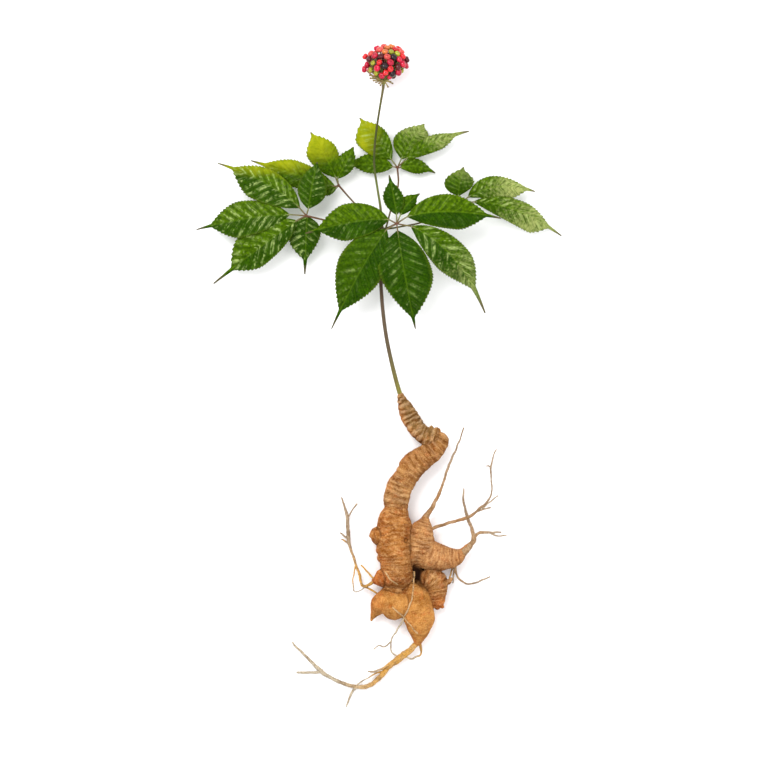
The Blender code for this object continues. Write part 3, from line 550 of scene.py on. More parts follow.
def tube(stations, sides):
    """Points, faces and how far along each point is, of a closed tube with rounded ends."""
    path = [Vector(station[:3]) for station in stations]
    radii = [max(station[3], THINNEST_RADIUS) for station in stations]
    first, last = (path[1] - path[0]).normalized(), (path[-1] - path[-2]).normalized()
    path = [path[0] - first * radii[0] * 0.35, *path, path[-1] + last * radii[-1] * 0.6]
    radii = [radii[0] * 0.75, *radii, radii[-1] * 0.55]
    side = first.orthogonal().normalized()
    points, along, length = [], [], 0.0
    for before, centre, after, radius in zip([path[0], *path], path, [*path[1:], path[-1]], radii):
        ahead = (after - before).normalized()
        side = (side - ahead * side.dot(ahead)).normalized()
        up = ahead.cross(side)
        length += (centre - before).length
        for turn in range(sides):
            angle = math.tau * turn / sides
            points.append(tuple(centre + (side * math.cos(angle) + up * math.sin(angle)) * radius))
            along.append(length)
    ends = [range(sides - 1, -1, -1), range(len(points) - sides, len(points))]
    return np.array(points), strips(len(path) - 1, sides) + ends, np.array(along)


def ball(centre, radius, segments=16, rings=10):
    """Points and faces of a sphere."""
    points = [(0, 0, -1)]
    for ring in range(1, rings):
        tilt = math.pi * ring / rings
        for turn in range(segments):
            angle = math.tau * turn / segments
            around = (math.cos(angle) * math.sin(tilt), math.sin(angle) * math.sin(tilt))
            points.append((*around, -math.cos(tilt)))
    points.append((0, 0, 1))
    top = len(points) - 1
    pairs = [(turn, (turn + 1) % segments) for turn in range(segments)]
    faces = [(0, 1 + after, 1 + turn) for turn, after in pairs] + strips(rings - 2, segments, 1)
    faces += [(top - segments + turn, top - segments + after, top) for turn, after in pairs]
    return np.array(points) * radius + np.array(centre), faces


def drift(points, span, seed):
    """A smooth noise from -1 to 1 at each point, over about this many mm. Each use has its seed."""
    shift = Vector((seed * 17.3, seed * 5.1, seed * 9.7))
    return np.array([noise.noise(Vector(point) / span + shift) for point in points])


def patchy(points, middle, swing, span, seed, least=0.0, most=1.0):
    """A strength that drifts around its middle, kept from least to most."""
    return np.clip(middle + swing * drift(points, span, seed), least, most)


def blend(first, second, share):
    """The colours from the first to the second, one for each share."""
    return np.array(first) * (1 - share[:, None]) + np.array(second) * share[:, None]


class Material:
    """A node material with short names for the few kinds of node that it needs, and a base to paint on."""

    def __init__(self, name, **values):
        self.made = bpy.data.materials.new(name)
        self.made.use_nodes = True
        self.shader = self.made.node_tree.nodes["Principled BSDF"]
        self.base = None
        for key, value in values.items():
            self.shader.inputs[key.replace("_", " ").title().replace("Ior", "IOR")].default_value = value

    def put(self, socket, source):
        """A node's result, or a value of the mesh by its name, is joined to the socket. A number is set."""
        if isinstance(source, str):
            source = self.value(source)
        if isinstance(source, bpy.types.NodeSocket):
            self.made.node_tree.links.new(source, socket)
        else:
            socket.default_value = source

    def node(self, kind, result, inputs, **settings):
        """The result of a new node of this kind."""
        made = self.made.node_tree.nodes.new("ShaderNode" + kind)
        for name, setting in settings.items():
            setattr(made, name, setting)
        for name, source in inputs.items():
            self.put(made.inputs[name], source)
        return made.outputs[result]

    def value(self, name):
        return self.node("Attribute", "Fac", {}, attribute_name=name)

    def tint(self):
        return self.node("Attribute", "Color", {}, attribute_name="tint")

    def place(self):
        return self.node("TexCoord", "Object", {})

    def stretched(self, place, scale):
        return self.node("Mapping", "Vector", {"Vector": place, "Scale": scale})

    def noise(self, per_metre, detail=4.0, roughness=0.55, place=None):
        place = self.place() if place is None else place
        inputs = {"Vector": place, "Scale": per_metre, "Detail": detail, "Roughness": roughness}
        return self.node("TexNoise", "Fac", inputs)

    def streaks(self, per_vein, along):
        """Noise drawn out along the side veins: how often it changes from vein to vein, and along one."""
        place = self.node("CombineXYZ", "Vector", {"X": "rib", "Y": "side"})
        return self.noise(1.0, 3.0, 0.5, self.stretched(place, (per_vein, along, 1.0)))

    def wrinkles(self):
        """Noise that changes fast along a limb and slowly around it, as the fine wrinkles do."""
        pace = {0: "along", 1: WRINKLES_PER_MM / WRINKLES_PER_METRE}
        pace = self.node("Math", "Value", pace, operation="MULTIPLY")
        inputs = {"Vector": self.place(), "W": pace, "Scale": WRINKLES_PER_METRE, "Detail": 2.0}
        return self.node("TexNoise", "Fac", inputs, noise_dimensions="4D")

    def cells(self, per_metre):
        return self.node("TexVoronoi", "Distance", {"Vector": self.place(), "Scale": per_metre})

    def steps(self, source, low, high, to_low=0.0, to_high=1.0):
        inputs = {"Value": source, "From Min": low, "From Max": high, "To Min": to_low, "To Max": to_high}
        return self.node("MapRange", "Result", inputs)

    def times(self, first, second):
        return self.node("Math", "Value", {0: first, 1: second}, operation="MULTIPLY", use_clamp=True)

    def mix(self, factor, first, second):
        """The colour between two. The node's sockets 6 and 7 and its result 2 are the colours."""
        first, second = ((*side, 1.0) if isinstance(side, tuple) else side for side in (first, second))
        return self.node("Mix", 2, {0: factor, 6: first, 7: second}, data_type="RGBA")

    def paint(self, colour, most, source, low=0.0, high=1.0, where=None):
        """A colour goes over the base, up to this share as the source goes from low to high."""
        share = self.steps(source, low, high, 0.0, most)
        self.base = self.mix(share if where is None else self.times(where, share), self.base, colour)

    def finish(self, roughness, *relief):
        """The relief is pairs of source and height in mm, the lowest layer first."""
        under = {}
        for source, height in relief:
            inputs = {"Strength": 1.0, "Distance": height * MM, "Height": source, **under}
            under = {"Normal": self.node("Bump", "Normal", inputs)}
        for name, source in {"Base Color": self.base, "Roughness": roughness, **under}.items():
            self.put(self.shader.inputs[name], source)
        return self.made


def root_material():
    """Mottled ochre skin: orange and pinkish patches, pale crests that are partly painted highlight, painted
    shade in the creases, grain and pores.
    """
    made = Material("root_skin", specular_ior_level=0.03)
    patches, grain, lines = made.noise(230, 4.0, 0.6), made.noise(900, 4.0, 0.6), made.wrinkles()
    tint, rough = made.tint(), made.value("rough")
    dark, pale = made.mix(0.50, tint, (0.15, 0.040, 0.005)), made.mix(0.32, tint, (0.66, 0.32, 0.10))
    made.base = made.mix(made.steps(made.noise(85, 3.0), 0.38, 0.62), dark, pale)
    made.paint((0.46, 0.105, 0.022), 0.38, made.noise(150, 3.0, 0.6), 0.54, 0.68)
    made.paint((0.66, 0.36, 0.14), 0.42, patches, 0.54, 0.68, rough)
    made.paint((0.15, 0.036, 0.004), 0.62, patches, 0.46, 0.32, rough)
    made.paint((0.66, 0.38, 0.16), 0.40, lines, 0.54, 0.68, rough)
    made.paint((0.13, 0.034, 0.005), 0.66, lines, 0.46, 0.33, rough)
    # Pale ring crests, partly the skin's own and partly painted highlight
    made.paint((0.60, 0.41, 0.24), 0.75, "crest")
    made.paint((0.68, 0.41, 0.16), 0.50, grain, 0.53, 0.72)
    made.paint((0.10, 0.030, 0.005), 0.65, grain, 0.46, 0.30)
    # Painted shade in the ring grooves, pits, folds between limbs and on the sides that face down the plant,
    # and the eye knot's dark ring
    made.paint((0.070, 0.022, 0.004), 0.85, "crease")
    # Where the tint is near black, as in the painted shade of the hollow and the fork gap, it shows unchanged
    made.paint(tint, 1.0, "tint", 0.07, 0.01)
    pores = made.steps(made.cells(420), 0.0, 0.5)
    relief = (patches, 0.6), (lines, 0.7), (grain, 0.3), (pores, 0.22)
    return made.finish(made.steps(grain, 0.3, 0.7, 0.78, 0.55), *relief)


def rootlet_material():
    made = Material("rootlet_skin", specular_ior_level=0.1)
    grain = made.noise(700, 4.0, 0.6)
    made.base = made.tint()
    made.paint((0.55, 0.42, 0.27), 0.35, made.noise(160, 2.0), 0.35, 0.7)
    made.paint((0.16, 0.095, 0.045), 0.6, made.noise(110, 3.0), 0.48, 0.34)
    made.paint((0.10, 0.050, 0.020), 0.7, grain, 0.52, 0.34)
    return made.finish(made.steps(grain, 0.3, 0.7, 0.75, 0.6), (grain, 0.35))


def leaf_top_material():
    """Deep green, with painted light where the blade turns to the light and at its edge, painted shade in the
    wrinkles and in the valleys between the pleats, and lines of painted sheen, some silvery, that follow the
    side veins.
    """
    made = Material("leaf_top", specular_ior_level=0.02)
    cloud = made.steps(made.noise(75, 4.0), 0.34, 0.66)
    wrinkles, lines, fine = made.cells(330), made.streaks(3.4, 2.6), made.noise(700, 4.0, 0.65)
    made.base = made.mix(cloud, (0.21, 0.25, 0.003), (0.35, 0.36, 0.009))
    made.paint((0.11, 0.16, 0.003), 0.30, lines, 0.50, 0.34)
    yellow = made.base
    made.base = made.mix(cloud, (0.009, 0.037, 0.0002), (0.028, 0.084, 0.0005))
    made.paint((0.090, 0.172, 0.001), 0.85, "lit", 0.42)
    # Painted shade in the crevices between the small quilted bulges
    made.paint((0.007, 0.027, 0.0001), 0.6, wrinkles, 0.28, 0.72)
    made.paint((0.006, 0.026, 0.0001), 0.65, lines, 0.48, 0.32)
    made.paint((0.075, 0.145, 0.003), 0.40, fine, 0.50, 0.72)
    # Painted shade in the valleys between the pleats
    made.paint((0.008, 0.031, 0.0001), 0.5, "painted_valley_shade")
    made.paint((0.085, 0.165, 0.005), 0.5, "vein")
    made.paint(yellow, 1.0, "yellow")
    bands = made.streaks(5.0, 1.6)
    silver_sheen_bands = made.steps(bands, 0.34, 0.54, 0.15, 1.0)
    # Painted silvery sheen in bands along the side veins
    made.paint((0.33, 0.37, 0.115), 1.0, "painted_silver_sheen", where=silver_sheen_bands)
    broken = made.steps(made.noise(430, 5.0, 0.7), 0.36, 0.56, 0.35, 1.0)
    sheen_spots = made.times(broken, made.steps(bands, 0.40, 0.62))
    # Painted sheen in broken lines along the side veins
    made.paint((0.31, 0.40, 0.125), 1.0, "painted_sheen", where=sheen_spots)
    # Painted light on the edge of the blade
    made.paint((0.12, 0.17, 0.012), 0.40, "edge")
    made.paint((0.105, 0.075, 0.045), 0.8, "dry")
    rough = made.steps(made.noise(260, 3.0), 0.3, 0.7, 0.30, 0.45)
    return made.finish(rough, (wrinkles, -0.5), (fine, 0.25), (lines, 0.5))


def leaf_under_material():
    made = Material("leaf_underside", specular_ior_level=0.1)
    cloud = made.steps(made.noise(60, 3.0), 0.3, 0.7)
    made.base = made.mix(cloud, (0.085, 0.165, 0.035), (0.12, 0.21, 0.055))
    made.paint((0.20, 0.29, 0.11), 0.6, "vein")
    return made.finish(made.steps(cloud, 0.0, 1.0, 0.6, 0.7), (made.noise(900, 3.0), 0.15))


def stalk_material():
    made = Material("stalk_skin", specular_ior_level=0.1)
    streaks = made.noise(420, 4.0, 0.6, made.stretched(made.place(), (1.0, 0.22, 1.0)))
    made.base = made.tint()
    made.paint((0.09, 0.055, 0.03), 0.55, streaks, 0.35, 0.65)
    return made.finish(made.steps(streaks, 0.3, 0.7, 0.5, 0.4), (streaks, 0.2))


def berry_material():
    """Shiny skin with a paler flush, darker between the patches, and a small dry eye."""
    made = Material("berry_skin", specular_ior_level=0.10, coat_weight=0.50, coat_roughness=0.07)
    cloud = made.steps(made.noise(260, 3.0), 0.35, 0.65)
    tint = made.tint()
    made.base = tint
    made.paint((0.70, 0.06, 0.05), 0.25, cloud)
    made.paint(tint, 1.0, "green")
    made.paint((0.10, 0.004, 0.006), 0.5, made.noise(500, 3.0), 0.45, 0.30)
    made.paint((0.03, 0.012, 0.008), 1.0, "eye")
    return made.finish(made.steps(cloud, 0.0, 1.0, 0.14, 0.24), (made.noise(700, 2.0), 0.06))


def nearest_limb(points):
    """For each point: its limb, how far along it, each limb's share there, and how near a seam it is."""
    spines = []
    for number, (route, *_) in enumerate(LIMBS.values()):
        stations = np.array(smooth_stations(route, SPINE_STEP))
        steps = np.linalg.norm(np.diff(stations[:, :3], axis=0), axis=1)
        along = np.append(0.0, np.cumsum(steps))
        spines.append(np.column_stack([stations, along, np.full(len(stations), number)]))
    spine = np.concatenate(spines)
    owner = spine[:, 5].astype(int)
    bias = np.array([HOLLOW_BIAS if name == "hollow" else 0.0 for name in LIMBS])
    grown = np.array([GROWN_FROM.get(name, name) for name in LIMBS])
    found = []
    for start in range(0, len(points), POINTS_AT_ONCE):
        near = points[start:start + POINTS_AT_ONCE, None]
        outside = np.linalg.norm(near - spine[:, :3], axis=2) - spine[:, 3]
        best = outside.argmin(axis=1)
        closest = np.array([outside[:, owner == number].min(axis=1) for number in range(len(LIMBS))]).T
        merged = [closest[:, grown == name].min(axis=1) for name in dict.fromkeys(grown)]
        nearest, second = np.sort(merged, axis=0)[:2]
        closest -= bias
        weight = np.exp(-(closest - closest.min(axis=1, keepdims=True)) / SKIN_BLEND)
        shares = weight / weight.sum(axis=1, keepdims=True)
        seam = np.exp(-(((second - nearest) / SEAM_WIDTH) ** 2))
        found.append((owner[best], spine[best, 4], shares, seam))
    return [np.concatenate(parts) for parts in zip(*found)]


def ring_relief(points, limb, along):
    """Height in mm of the root's rings, how far each point is in a crease, for painted shade, and how far on
    a crest, for a pale colour that is partly painted highlight.
    """
    pitches, depths = np.array([(pitch, depth) for _, pitch, depth, _ in LIMBS.values()])[limb].T
    phase = along / pitches + 0.55 * drift(points, 13.0, 1) + 0.30 * drift(points, 5.0, 2)
    strength = patchy(points, 0.8, 0.9, 9.0, 3, 0.15, 1.3)
    groove = strength * (1 - np.abs(np.sin(math.pi * phase))) ** 1.4
    fine_phase = FINE_RINGS * along / pitches + 0.7 * drift(points, 4.5, 4)
    fine = (1 - np.abs(np.sin(math.pi * fine_phase))) ** 1.6 * patchy(points, 0.6, 1.2, 6.0, 11, 0.0, 1.2)
    shown = np.clip(depths / FULL_RING_DEPTH, 0, 1)
    crest = shown * np.clip(strength, 0, 1) * np.abs(np.sin(math.pi * phase)) ** 4
    return -depths * (groove + 0.4 * fine), np.clip(shown * (groove + 0.55 * fine), 0, 1), crest


def fat_body_mesh():
    """The union of all the limbs and knobs as one fine closed mesh."""
    gathered = Shape()
    for route, *_ in LIMBS.values():
        gathered.add(*tube(smooth_stations(route, LIMB_STEP), LIMB_SIDES)[:2])
    for x, y, z, radius in NUBS:
        gathered.add(*ball((x, y, z), radius))
    rough = linked("limbs", gathered.mesh("limbs"))
    remesh = rough.modifiers.new("remesh", "REMESH")
    remesh.mode = "VOXEL"
    remesh.voxel_size = BODY_VOXEL * MM
    melt = rough.modifiers.new("melt", "SMOOTH")
    melt.factor = 0.5
    melt.iterations = MELT_PASSES
    bpy.context.view_layer.update()
    fine = bpy.data.meshes.new_from_object(rough.evaluated_get(bpy.context.evaluated_depsgraph_get()))
    bpy.data.objects.remove(rough)
    return fine


def make_root_body(material):
    mesh = fat_body_mesh()
    points, normals = read(mesh.vertices, "co") / MM, read(mesh.vertex_normals, "vector")
    limb, along, shares, seams = nearest_limb(points)
    height, crease, crest = ring_relief(points, limb, along)
    pits = patchy(points, -0.36, 1.0, 2.2, 8)
    height += sum(size * drift(points, span, seed) for size, span, seed in LUMPS) - PIT_DEPTH * pits
    moved = points + normals * height[:, None]
    moved[:, 2] = np.maximum(moved[:, 2], 0.0)
    mesh.vertices.foreach_set("co", (moved * MM).astype(np.float32).ravel())
    mesh.update()
    from_eye = np.hypot(*(points[:, :2] - EYE_KNOT).T)
    knot_mark_and_shade = 1.2 * np.exp(-(((from_eye - EYE_KNOT_RADIUS) / EYE_KNOT_WIDTH) ** 2))
    knot_mark_and_shade *= patchy(points, 0.7, 2.0, 2.0, 14) * (points[:, 2] >= EYE_KNOT_LOWEST)
    # Painted shade in the folds where two limbs meet
    knot_mark_and_shade += 0.75 * patchy(points, 0.8, 1.0, 8.0, 15) * seams
    # Painted shade on the sides that face down the plant
    knot_mark_and_shade += 0.75 * np.clip(-normals[:, 1] - 0.25, 0, 1) * patchy(points, 0.8, 1.0, 7.0, 13)
    flush = 0.8 * np.clip(-normals[:, 0] - 0.2, 0, 1) * patchy(points, 0.6, 1.2, 14.0, 16)
    # Painted shade in the deep gap under the fork
    gap = np.clip(1.5 * np.exp(-(((points[:, :2] - FORK_GAP) / FORK_GAP_REACH) ** 2).sum(axis=1)), 0, 1)
    colours, crease_gain, crest_gain = (shares @ np.array(part) for part in zip(*[
        LIMB_SKINS[skin] for *_, skin in LIMBS.values()
    ]))
    smooth = shares @ np.array([skin == "bulb" for *_, skin in LIMBS.values()])
    colours += flush[:, None] * (np.array(FLUSH) - colours)
    store(mesh, "tint", colours + gap[:, None] * (np.array(FORK_GAP_SHADE) - colours))
    # The crease value holds painted shade in the ring grooves and pits, at the folds and on the down-facing
    # sides, and the eye knot's ring
    store(mesh, "crease", np.clip(np.clip(crease + 1.2 * pits, 0, 1) * crease_gain + knot_mark_and_shade, 0, 1))
    store(mesh, "along", along + WRINKLE_WANDER * drift(points, 11.0, 17))
    store(mesh, "rough", 1 - 0.6 * smooth)
    # Pale ring crests, partly the skin's own and partly painted highlight
    store(mesh, "crest", crest * crest_gain)
    mesh.shade_smooth()
    return piece("root_body", mesh, [material], "ginseng_root", "root_skin")


def laid_on(body_tree, station):
    """The station lifted onto the body's upper surface where the body is under it."""
    x, y, z, radius = station
    hit, *_ = body_tree.ray_cast(Vector((x, y, ABOVE_ALL)) * MM, Vector((0, 0, -1)))
    if hit is None or hit.z / MM < z - LYING_DROP:
        return station
    return [x, y, hit.z / MM + LYING_SHARE * radius, radius]


def make_rootlets(body, material):
    """The thin roots, each a knotty tube that wanders a little from its route."""
    noise.seed_set(JITTER_SEED)
    tree = BVHTree.FromPolygons([v.co for v in body.data.vertices], [p.vertices for p in body.data.polygons])
    gathered = Shape()
    for number, (route, start, end) in enumerate(ROOTLETS):
        stations = smooth_stations(route, ROOTLET_STEP)
        if start == LYING:
            stations = [laid_on(tree, station) for station in stations]
        for step, station in enumerate(stations):
            place = Vector(station[:3])
            jitter = noise.noise_vector(place / 7.0 + Vector((number, 0, 0)))
            share = min(1.0, step / JITTER_STEPS)
            station[0] += jitter.x * JITTER * share
            station[1] += jitter.y * JITTER * share
            station[3] *= 1 + 0.20 * noise.noise(place / 3.0) + 0.12 * noise.noise(place / 1.3)
            station[2] = max(station[2], station[3])
        points, faces, along = tube(stations, ROOTLET_SIDES)
        share = np.clip((along / along.max() - 0.35) / 0.3, 0, 1)
        gathered.add(points, faces, tint=blend(ROOTLET_COLOURS[start], ROOTLET_COLOURS[end], share))
    gathered.piece("rootlets", [material], "ginseng_root", "root_skin")


def make_stem(material):
    stations = smooth_stations(STEM_ROUTE, STEM_STEP)
    for station in stations:
        station[3] *= 1 + 0.05 * noise.noise(Vector(station[:3]) / 6.0)
    points, faces, _ = tube(stations, STEM_SIDES)
    places, colours = zip(*STEM_COLOURS)
    tint = np.array([np.interp(points[:, 1], places, band) for band in zip(*colours)]).T
    gathered = Shape()
    gathered.add(points, faces, tint=tint)
    gathered.piece("stem_skin", [material], "stem", "stem_skin")


def midrib(leaflet, t):
    """Places on the leaflet's midrib, for one share of its length or a column of them."""
    base, middle, tip = np.array(leaflet[:3], float)
    return base * (2 * t - 1) * (t - 1) + middle * 4 * t * (1 - t) + tip * t * (2 * t - 1)


def half_width(share, widest, drip):
    """Half width, as a share of the widest, at this share of the leaflet's length."""
    rise = (1 - (1 - np.minimum(share / widest, 1)) ** 2) ** 0.8
    fall = 1 - np.clip((share - widest) / (1 - drip - widest), 0, 1) ** 1.75
    return np.where(share < widest, rise, fall)


def blade(leaflet, yellow, painted_silver_sheen, draw):
    """Points, faces and values of one leaflet: toothed edge, sunken veins and bulging pleats between them."""
    left, right, drip, veins, sheen_strength = leaflet[3:]
    base, middle, tip = np.array(leaflet[:3], float)
    length = np.linalg.norm(middle - base) + np.linalg.norm(tip - middle)
    teeth = max(8, round(length / TOOTH_PITCH))
    half = max(6, round(max(left[0], right[0]) / LEAF_COLUMN))
    depths = np.array([draw.uniform(*TOOTH_VARIATION) for _ in range(2 * teeth + 2)]).reshape(-1, 2)
    wave, wave_start = draw.uniform(*WAVES), draw.uniform(0, math.tau)

    # The grid: down the rows goes the share of the length, and across them w from the right edge to the left
    row = np.arange(teeth * ROWS_PER_TOOTH + 1)[:, None]
    share = row / row.max()
    w = np.arange(-half, half + 1) / half
    off = np.abs(w)
    on_left = w >= 0
    sign = np.where(on_left, 1, -1)
    ahead = (midrib(leaflet, share + 0.01) - midrib(leaflet, share - 0.01))[:, None, :2]
    ahead /= np.linalg.norm(ahead, axis=2, keepdims=True)
    outward = np.concatenate([-ahead[..., 1:], ahead[..., :1]], axis=2) * sign[:, None]
    width = np.where(on_left, half_width(share, left[1], drip), half_width(share, right[1], drip))
    spread = np.where(on_left, left[0], right[0]) * width
    inside = np.minimum(1, spread / 4)

    # The outline: teeth at the rim, and a drip tip that keeps some width to the end
    saw = row % ROWS_PER_TOOTH / (ROWS_PER_TOOTH - 1) - 0.5
    depth = depths[row // ROWS_PER_TOOTH, 1 - on_left] * np.clip(0.22 * (spread - 1), 0, TOOTH_DEPTH)
    rim = np.maximum(0, (off - 0.72) / 0.28) ** 1.3
    narrow = 0.6 + 1.3 * np.minimum(np.minimum(1, (1 - share) / drip), 0.4 + 6 * share)
    narrow *= DRIP_HALF_WIDTH * (1 + 8 * max(0.0, drip - LONG_DRIP))
    out = np.hypot(spread, narrow) * off + depth * saw * rim
    lean = 0.9 * depth * (saw + 0.5) * rim

    # The relief: pleats between the side veins, the sunken midrib, the arch and the waves of the edge
    turn = (share - VEIN_LEAN * off**0.85 * (0.45 + 0.55 * width)) * veins * PLEATS_PER_PAIR
    turn += np.where(on_left, 0, 0.25)
    pleat = np.abs(np.sin(math.pi * turn)) ** 0.75
    cover = np.where(off < 0.9, np.sin(math.pi * np.minimum(1, off + 0.1)) ** 0.5, 3.5 * (1 - off))
    groove = np.exp(-((off * spread / 1.3) ** 2))
    height = PLEAT_HEIGHT * (pleat - 0.5) * cover * inside - MIDRIB_DEPTH * groove * inside
    height += CROWN * spread * np.sin(math.pi * off**0.8) - EDGE_DROOP * spread * w**2
    height += WAVE_HEIGHT * spread * off**3 * np.sin(wave * math.tau * share + wave_start + 1.7 * sign)
    points = np.repeat(midrib(leaflet, share)[:, None], len(w), axis=1)
    points[..., :2] += outward * out[..., None] + ahead * lean[..., None]
    points[..., 2] += height
    points = points.reshape(-1, 3)

    # The values that the materials read
    side_vein = np.maximum(0, 1 - pleat / 0.42) * (1 - 0.55 * off)
    beside = np.sin(math.pi * (2 * turn - 0.4))
    flank = (outward * VEIN_ACROSS - ahead * VEIN_FORWARD) @ np.array(LIGHT_FROM)
    rising = np.sin(math.pi * turn) ** 2 * (0.5 + 0.5 * beside)
    # Painted sheen on the rising flank of each pleat
    painted_sheen = (0.35 + 0.85 * np.abs(flank)) * inside * cover * np.maximum(0, rising) ** 0.9
    flecks = np.clip(0.42 + 1.5 * drift(points, 13.0, 9) + 1.5 * drift(points, 2.3, 10), 0, 1.2)
    patches = 0.25 * drift(points, 16.0, 3)
    specks = 0.7 * drift(points, 2.0, 12)
    yellow_side = 0.22 if yellow > 1 else -0.4 if yellow < 0 else 0.0
    reach = min(1.0, abs(yellow))
    end = (share + yellow_side * w * width).ravel()
    values = {
        "vein": np.minimum(1, inside * np.maximum(0.6 * side_vein, np.exp(-((off * spread / 0.6) ** 2)))),
        # Painted shade in the valleys between the pleats
        "painted_valley_shade": inside * np.maximum(0, 0.5 - 0.5 * beside) ** 2,
        # Where the edge gets painted light
        "edge": inside * np.maximum(0, (off - 0.86) / 0.14),
        "dry": np.clip((share - 1 + 0.75 * drip) / (0.45 * drip), 0, 1),
        "rib": turn + 3.7 * length,
        "side": w,
        "lit": 0.6 * (0.5 + 0.5 * outward[..., 1]) + 0.4 * np.abs(ahead[..., 0]),
    }
    values = {name: np.broadcast_to(value, width.shape).ravel() for name, value in values.items()}
    values["painted_sheen"] = np.clip(PAINTED_SHEEN_GAIN * sheen_strength * flecks * painted_sheen.ravel(), 0, 1)
    # Painted silvery sheen over the outer part of the leaflet
    values["painted_silver_sheen"] = painted_silver_sheen * np.clip((end - 0.7 + 0.45 * painted_silver_sheen) / SILVER_SHEEN_FADE + patches + specks, 0, 1)
    yellowing = np.clip((end - 1 + 0.68 * reach) / YELLOW_FADE + patches, 0, 1)
    values["yellow"] = YELLOW_MOST * (reach > 0) * yellowing
    faces = [(a, d, c, b) for a, b, c, d in strips(len(row) - 1, len(w), closed=False)]
    return points, faces, values


def make_blades(name, leaflets, materials):
    draw = random.Random(name)
    gathered = Shape()
    for number, leaflet in enumerate(leaflets):
        tones = (table.get((name, number), 0.0) for table in (YELLOW, SILVER_SHEEN))
        points, faces, values = blade(leaflet, *tones, draw)
        points[:, 2] = np.maximum(points[:, 2], LOWEST_BLADE)
        values["lit"] = values["lit"] + LIGHTER.get(name, 0.0)
        gathered.add(points, faces, **values)
    made = gathered.piece(name + "_blades", materials, name, "leaf_blade")
    solid = made.modifiers.new("thickness", "SOLIDIFY")
    solid.thickness = BLADE_THICKNESS * MM
    solid.offset = -1.0
    solid.material_offset = 1
    solid.use_rim = True


def make_stalks(name, start, petiole, hub, leaflets, material):
    """The petiole, the small stalks and, under each blade, its raised midrib."""
    begin = Vector(WHORL) + Vector(start) * PETIOLE_START
    near = begin + Vector(start) * PETIOLE_STRAIGHT
    route = [(*begin, 1.2), (*near, 1.0), *[(*point, 0.85) for point in petiole], (*hub, 1.0)]
    points, faces, along = tube(smooth_stations(route, PETIOLE_STEP), PETIOLE_SIDES)
    gathered = Shape()
    gathered.add(points, faces, tint=blend(STALK_GREEN, STALK_RED, along / along.max()))
    gathered.add(*ball(hub, 1.5), tint=STALK_RED)
    for leaflet in leaflets:
        route = [(*hub, 0.75), (*midrib(leaflet, 0.0), 0.72)]
        for t in (0.1, 0.25, 0.4, 0.55, 0.7, 0.85):
            x, y, z = midrib(leaflet, t)
            route.append((x, y, z - 1.35 + 0.3 * t, 0.75 - 0.55 * t))
        points, faces, along = tube(smooth_stations(route, MIDRIB_STEP), MIDRIB_SIDES)
        share = np.clip(along / along.max() * 4, 0, 1)
        gathered.add(points, faces, tint=blend(STALK_RED, MIDRIB_GREEN, share))
    gathered.piece(name + "_stalks", [material], name, "leaf_blade")


def berry_places():
    """Where each berry is and its ripeness: the front ones as listed, the others spread evenly behind."""
    reach = np.array(HEAD_REACH)
    places, kinds = [], []
    for x, y, kind in FRONT_BERRIES:
        inside = 1 - (x / reach[0]) ** 2 - (y / reach[1]) ** 2
        places.append((x, y, reach[2] * math.sqrt(max(0.0, inside))))
        kinds.append(kind)
    draw = random.Random(8)
    for number in range(BACK_BERRIES):
        depth = (number + 0.6) / BACK_BERRIES
        turn = number * math.pi * (3 - math.sqrt(5))
        ring = math.sqrt(1 - depth * depth)
        places.append(np.array((ring * math.cos(turn), ring * math.sin(turn), -depth)) * reach * BACK_REACH)
        kinds.append(draw.choice(BACK_KINDS))
    return spread_out(np.array(places), reach) + np.array(HEAD_CENTRE), kinds


def spread_out(places, reach):
    """Berries that press into each other are moved apart, and stay within the head's outline."""
    closest = 2 * BERRY_RADIUS * PRESSED
    stem_side = (np.array(RECEPTACLE) - np.array(HEAD_CENTRE)) / reach
    stem_side /= np.linalg.norm(stem_side)
    for _ in range(SPREAD_PASSES):
        gap = places[:, None] - places[None]
        far = np.linalg.norm(gap, axis=2) + np.eye(len(places)) * 1e3
        push = np.clip(closest - far, 0, None)[..., None] * gap / far[..., None]
        scaled = (places + 0.35 * push.sum(axis=1)) / reach
        size = np.linalg.norm(scaled, axis=1, keepdims=True)
        scaled = scaled / size * np.clip(size, SHELL_FROM, 1.0)
        near_stem = np.clip(scaled @ stem_side - 0.86, 0, None)[:, None]
        places = (scaled - near_stem * stem_side) * reach
    return places


def make_berries(material):
    """Plump balls with a dimple at the stalk and another around the eye."""
    places, kinds = berry_places()
    head = np.array(HEAD_CENTRE)
    draw = random.Random(21)
    inner = [place * INNER_SHARE + head * (1 - INNER_SHARE) for place in places[::3]][:INNER_BERRIES]
    unit, faces = ball((0, 0, 0), 1.0, 24, 16)
    height = unit[:, 2]
    around = np.arctan2(unit[:, 1], unit[:, 0])
    dimple = np.exp(-((1 - height) / 0.10) ** 2) * 0.16 + np.exp(-((1 + height) / 0.16) ** 2) * 0.14
    plump = 1 - dimple + 0.05 * np.cos(2 * around) * np.sqrt(np.clip(1 - height**2, 0, 1))
    plump = unit * plump[:, None] * np.array(BERRY_SHAPE)
    eye = np.clip((height - 0.972) / 0.02, 0, 1)
    gathered = Shape()
    # The inner berries are dark: painted shade in the gaps of the head
    for place, kind in zip([*places, *inner], kinds + ["dark"] * len(inner)):
        radius = BERRY_RADIUS * draw.uniform(*BERRY_SIZES) * (UNRIPE_SIZE if kind == "green" else 1.0)
        axis = Vector(place - np.array(RECEPTACLE)).normalized() + Vector(place - head).normalized()
        turn = axis.normalized().to_track_quat("Z", "Y").to_matrix()
        points = (plump * radius) @ np.array(turn).T + place
        points[:, 2] = np.maximum(points[:, 2], 0.05)
        tint = np.array(BERRY_COLOURS[kind]) * draw.uniform(*BERRY_SHADES)
        gathered.add(points, faces, tint=tint, eye=eye, green=float(kind in GREEN_KINDS))
    gathered.piece("berries", [material], "berry_head", "berry_skin")


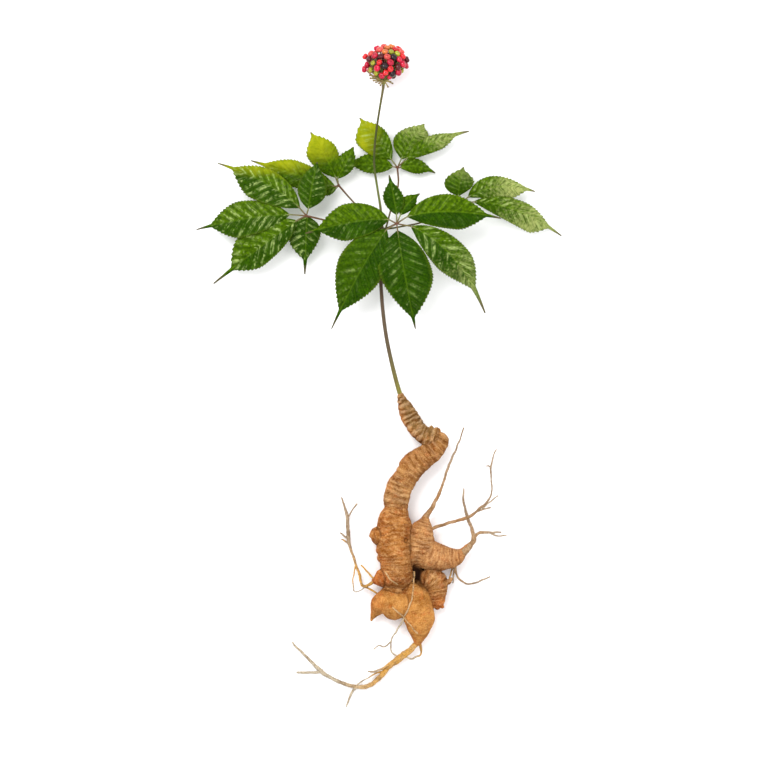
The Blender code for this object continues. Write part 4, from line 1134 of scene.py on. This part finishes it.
def make_berry_stalks(material):
    """The receptacle, a stalk to each berry, and the bare stalks with their dry ends."""
    hub, top = Vector(RECEPTACLE), Vector(STEM_TOP)
    gathered = Shape()

    def add_stalk(route, step, sides, colour):
        gathered.add(*tube(smooth_stations(route, step), sides)[:2], tint=colour)

    add_stalk([(*top, 1.5), (*(hub + top) / 2, 1.8), (*hub, 2.5)], HUB_STEP, HUB_SIDES, BERRY_STALK_GREEN)
    for place in berry_places()[0]:
        middle = (hub + Vector(place)) / 2 + Vector((0, -1.2, 0.0))
        route = [(*hub, 0.6), (*middle, 0.5), (*Vector(place), 0.55)]
        add_stalk(route, STALK_STEP, STALK_SIDES, BERRY_STALK_GREEN)
    for end in BARE_STALKS:
        middle = (hub + Vector(end)) / 2 + Vector((0, 0.8, 1.5))
        route = [(*hub, 0.8), (*middle, 0.65), (*end, 0.7)]
        add_stalk(route, BARE_STEP, STALK_SIDES, BARE_STALK)
        gathered.add(*ball(end, 0.95, 10, 6), tint=BARE_END)
    gathered.piece("berry_stalks", [material], "berry_head", "berry_skin")


def make_floor():
    side = FLOOR_HALF_SIDE
    mesh = bpy.data.meshes.new("floor")
    corners = [(-side, -side, 0), (side, -side, 0), (side, side, 0), (-side, side, 0)]
    mesh.from_pydata(corners, [], [(0, 1, 2, 3)])
    floor = linked("floor", mesh)
    floor.location.z = -FLOOR_DROP
    paper = Material("floor_paper", base_color=PAPER, roughness=0.9, specular_ior_level=0.1)
    mesh.materials.append(paper.made)


def make_lights():
    world = bpy.data.worlds.new("studio")
    bpy.context.scene.world = world
    world.use_nodes = True
    sky = world.node_tree.nodes["Background"].inputs
    sky["Color"].default_value, sky["Strength"].default_value = SKY, SKY_STRENGTH
    for name, (place, target, size, watts) in LAMPS.items():
        data = bpy.data.lights.new(name, "AREA")
        data.shape = "DISK"
        data.size = size
        data.energy = watts
        lamp = linked(name, data)
        lamp.location = place
        lamp.rotation_euler = (Vector(target) - Vector(place)).to_track_quat("-Z", "Y").to_euler()


def make_camera():
    data = bpy.data.cameras.new("camera")
    data.lens = LENS
    data.sensor_width = SENSOR
    data.clip_end = 50.0
    camera = linked("camera", data)
    camera.location = Vector((*PHOTO_CENTRE_MM, FOCUS_HEIGHT_MM + PHOTO_SIDE * LENS / SENSOR)) * MM
    bpy.context.scene.camera = camera


def main():
    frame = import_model()
    make_camera()
    body = make_root_body(root_material())
    make_rootlets(body, rootlet_material())
    stalk = stalk_material()
    make_stem(stalk)
    blades = [leaf_top_material(), leaf_under_material()]
    for name, (start, petiole, hub, leaflets) in LEAVES.items():
        if name in frame["nodes"]:
            make_blades(name, leaflets, blades)
            make_stalks(name, start, petiole, hub, leaflets, stalk)
    make_berries(berry_material())
    make_berry_stalks(stalk)
    make_floor()
    make_lights()
    bpy.context.scene.view_settings.view_transform = "Standard"


main()
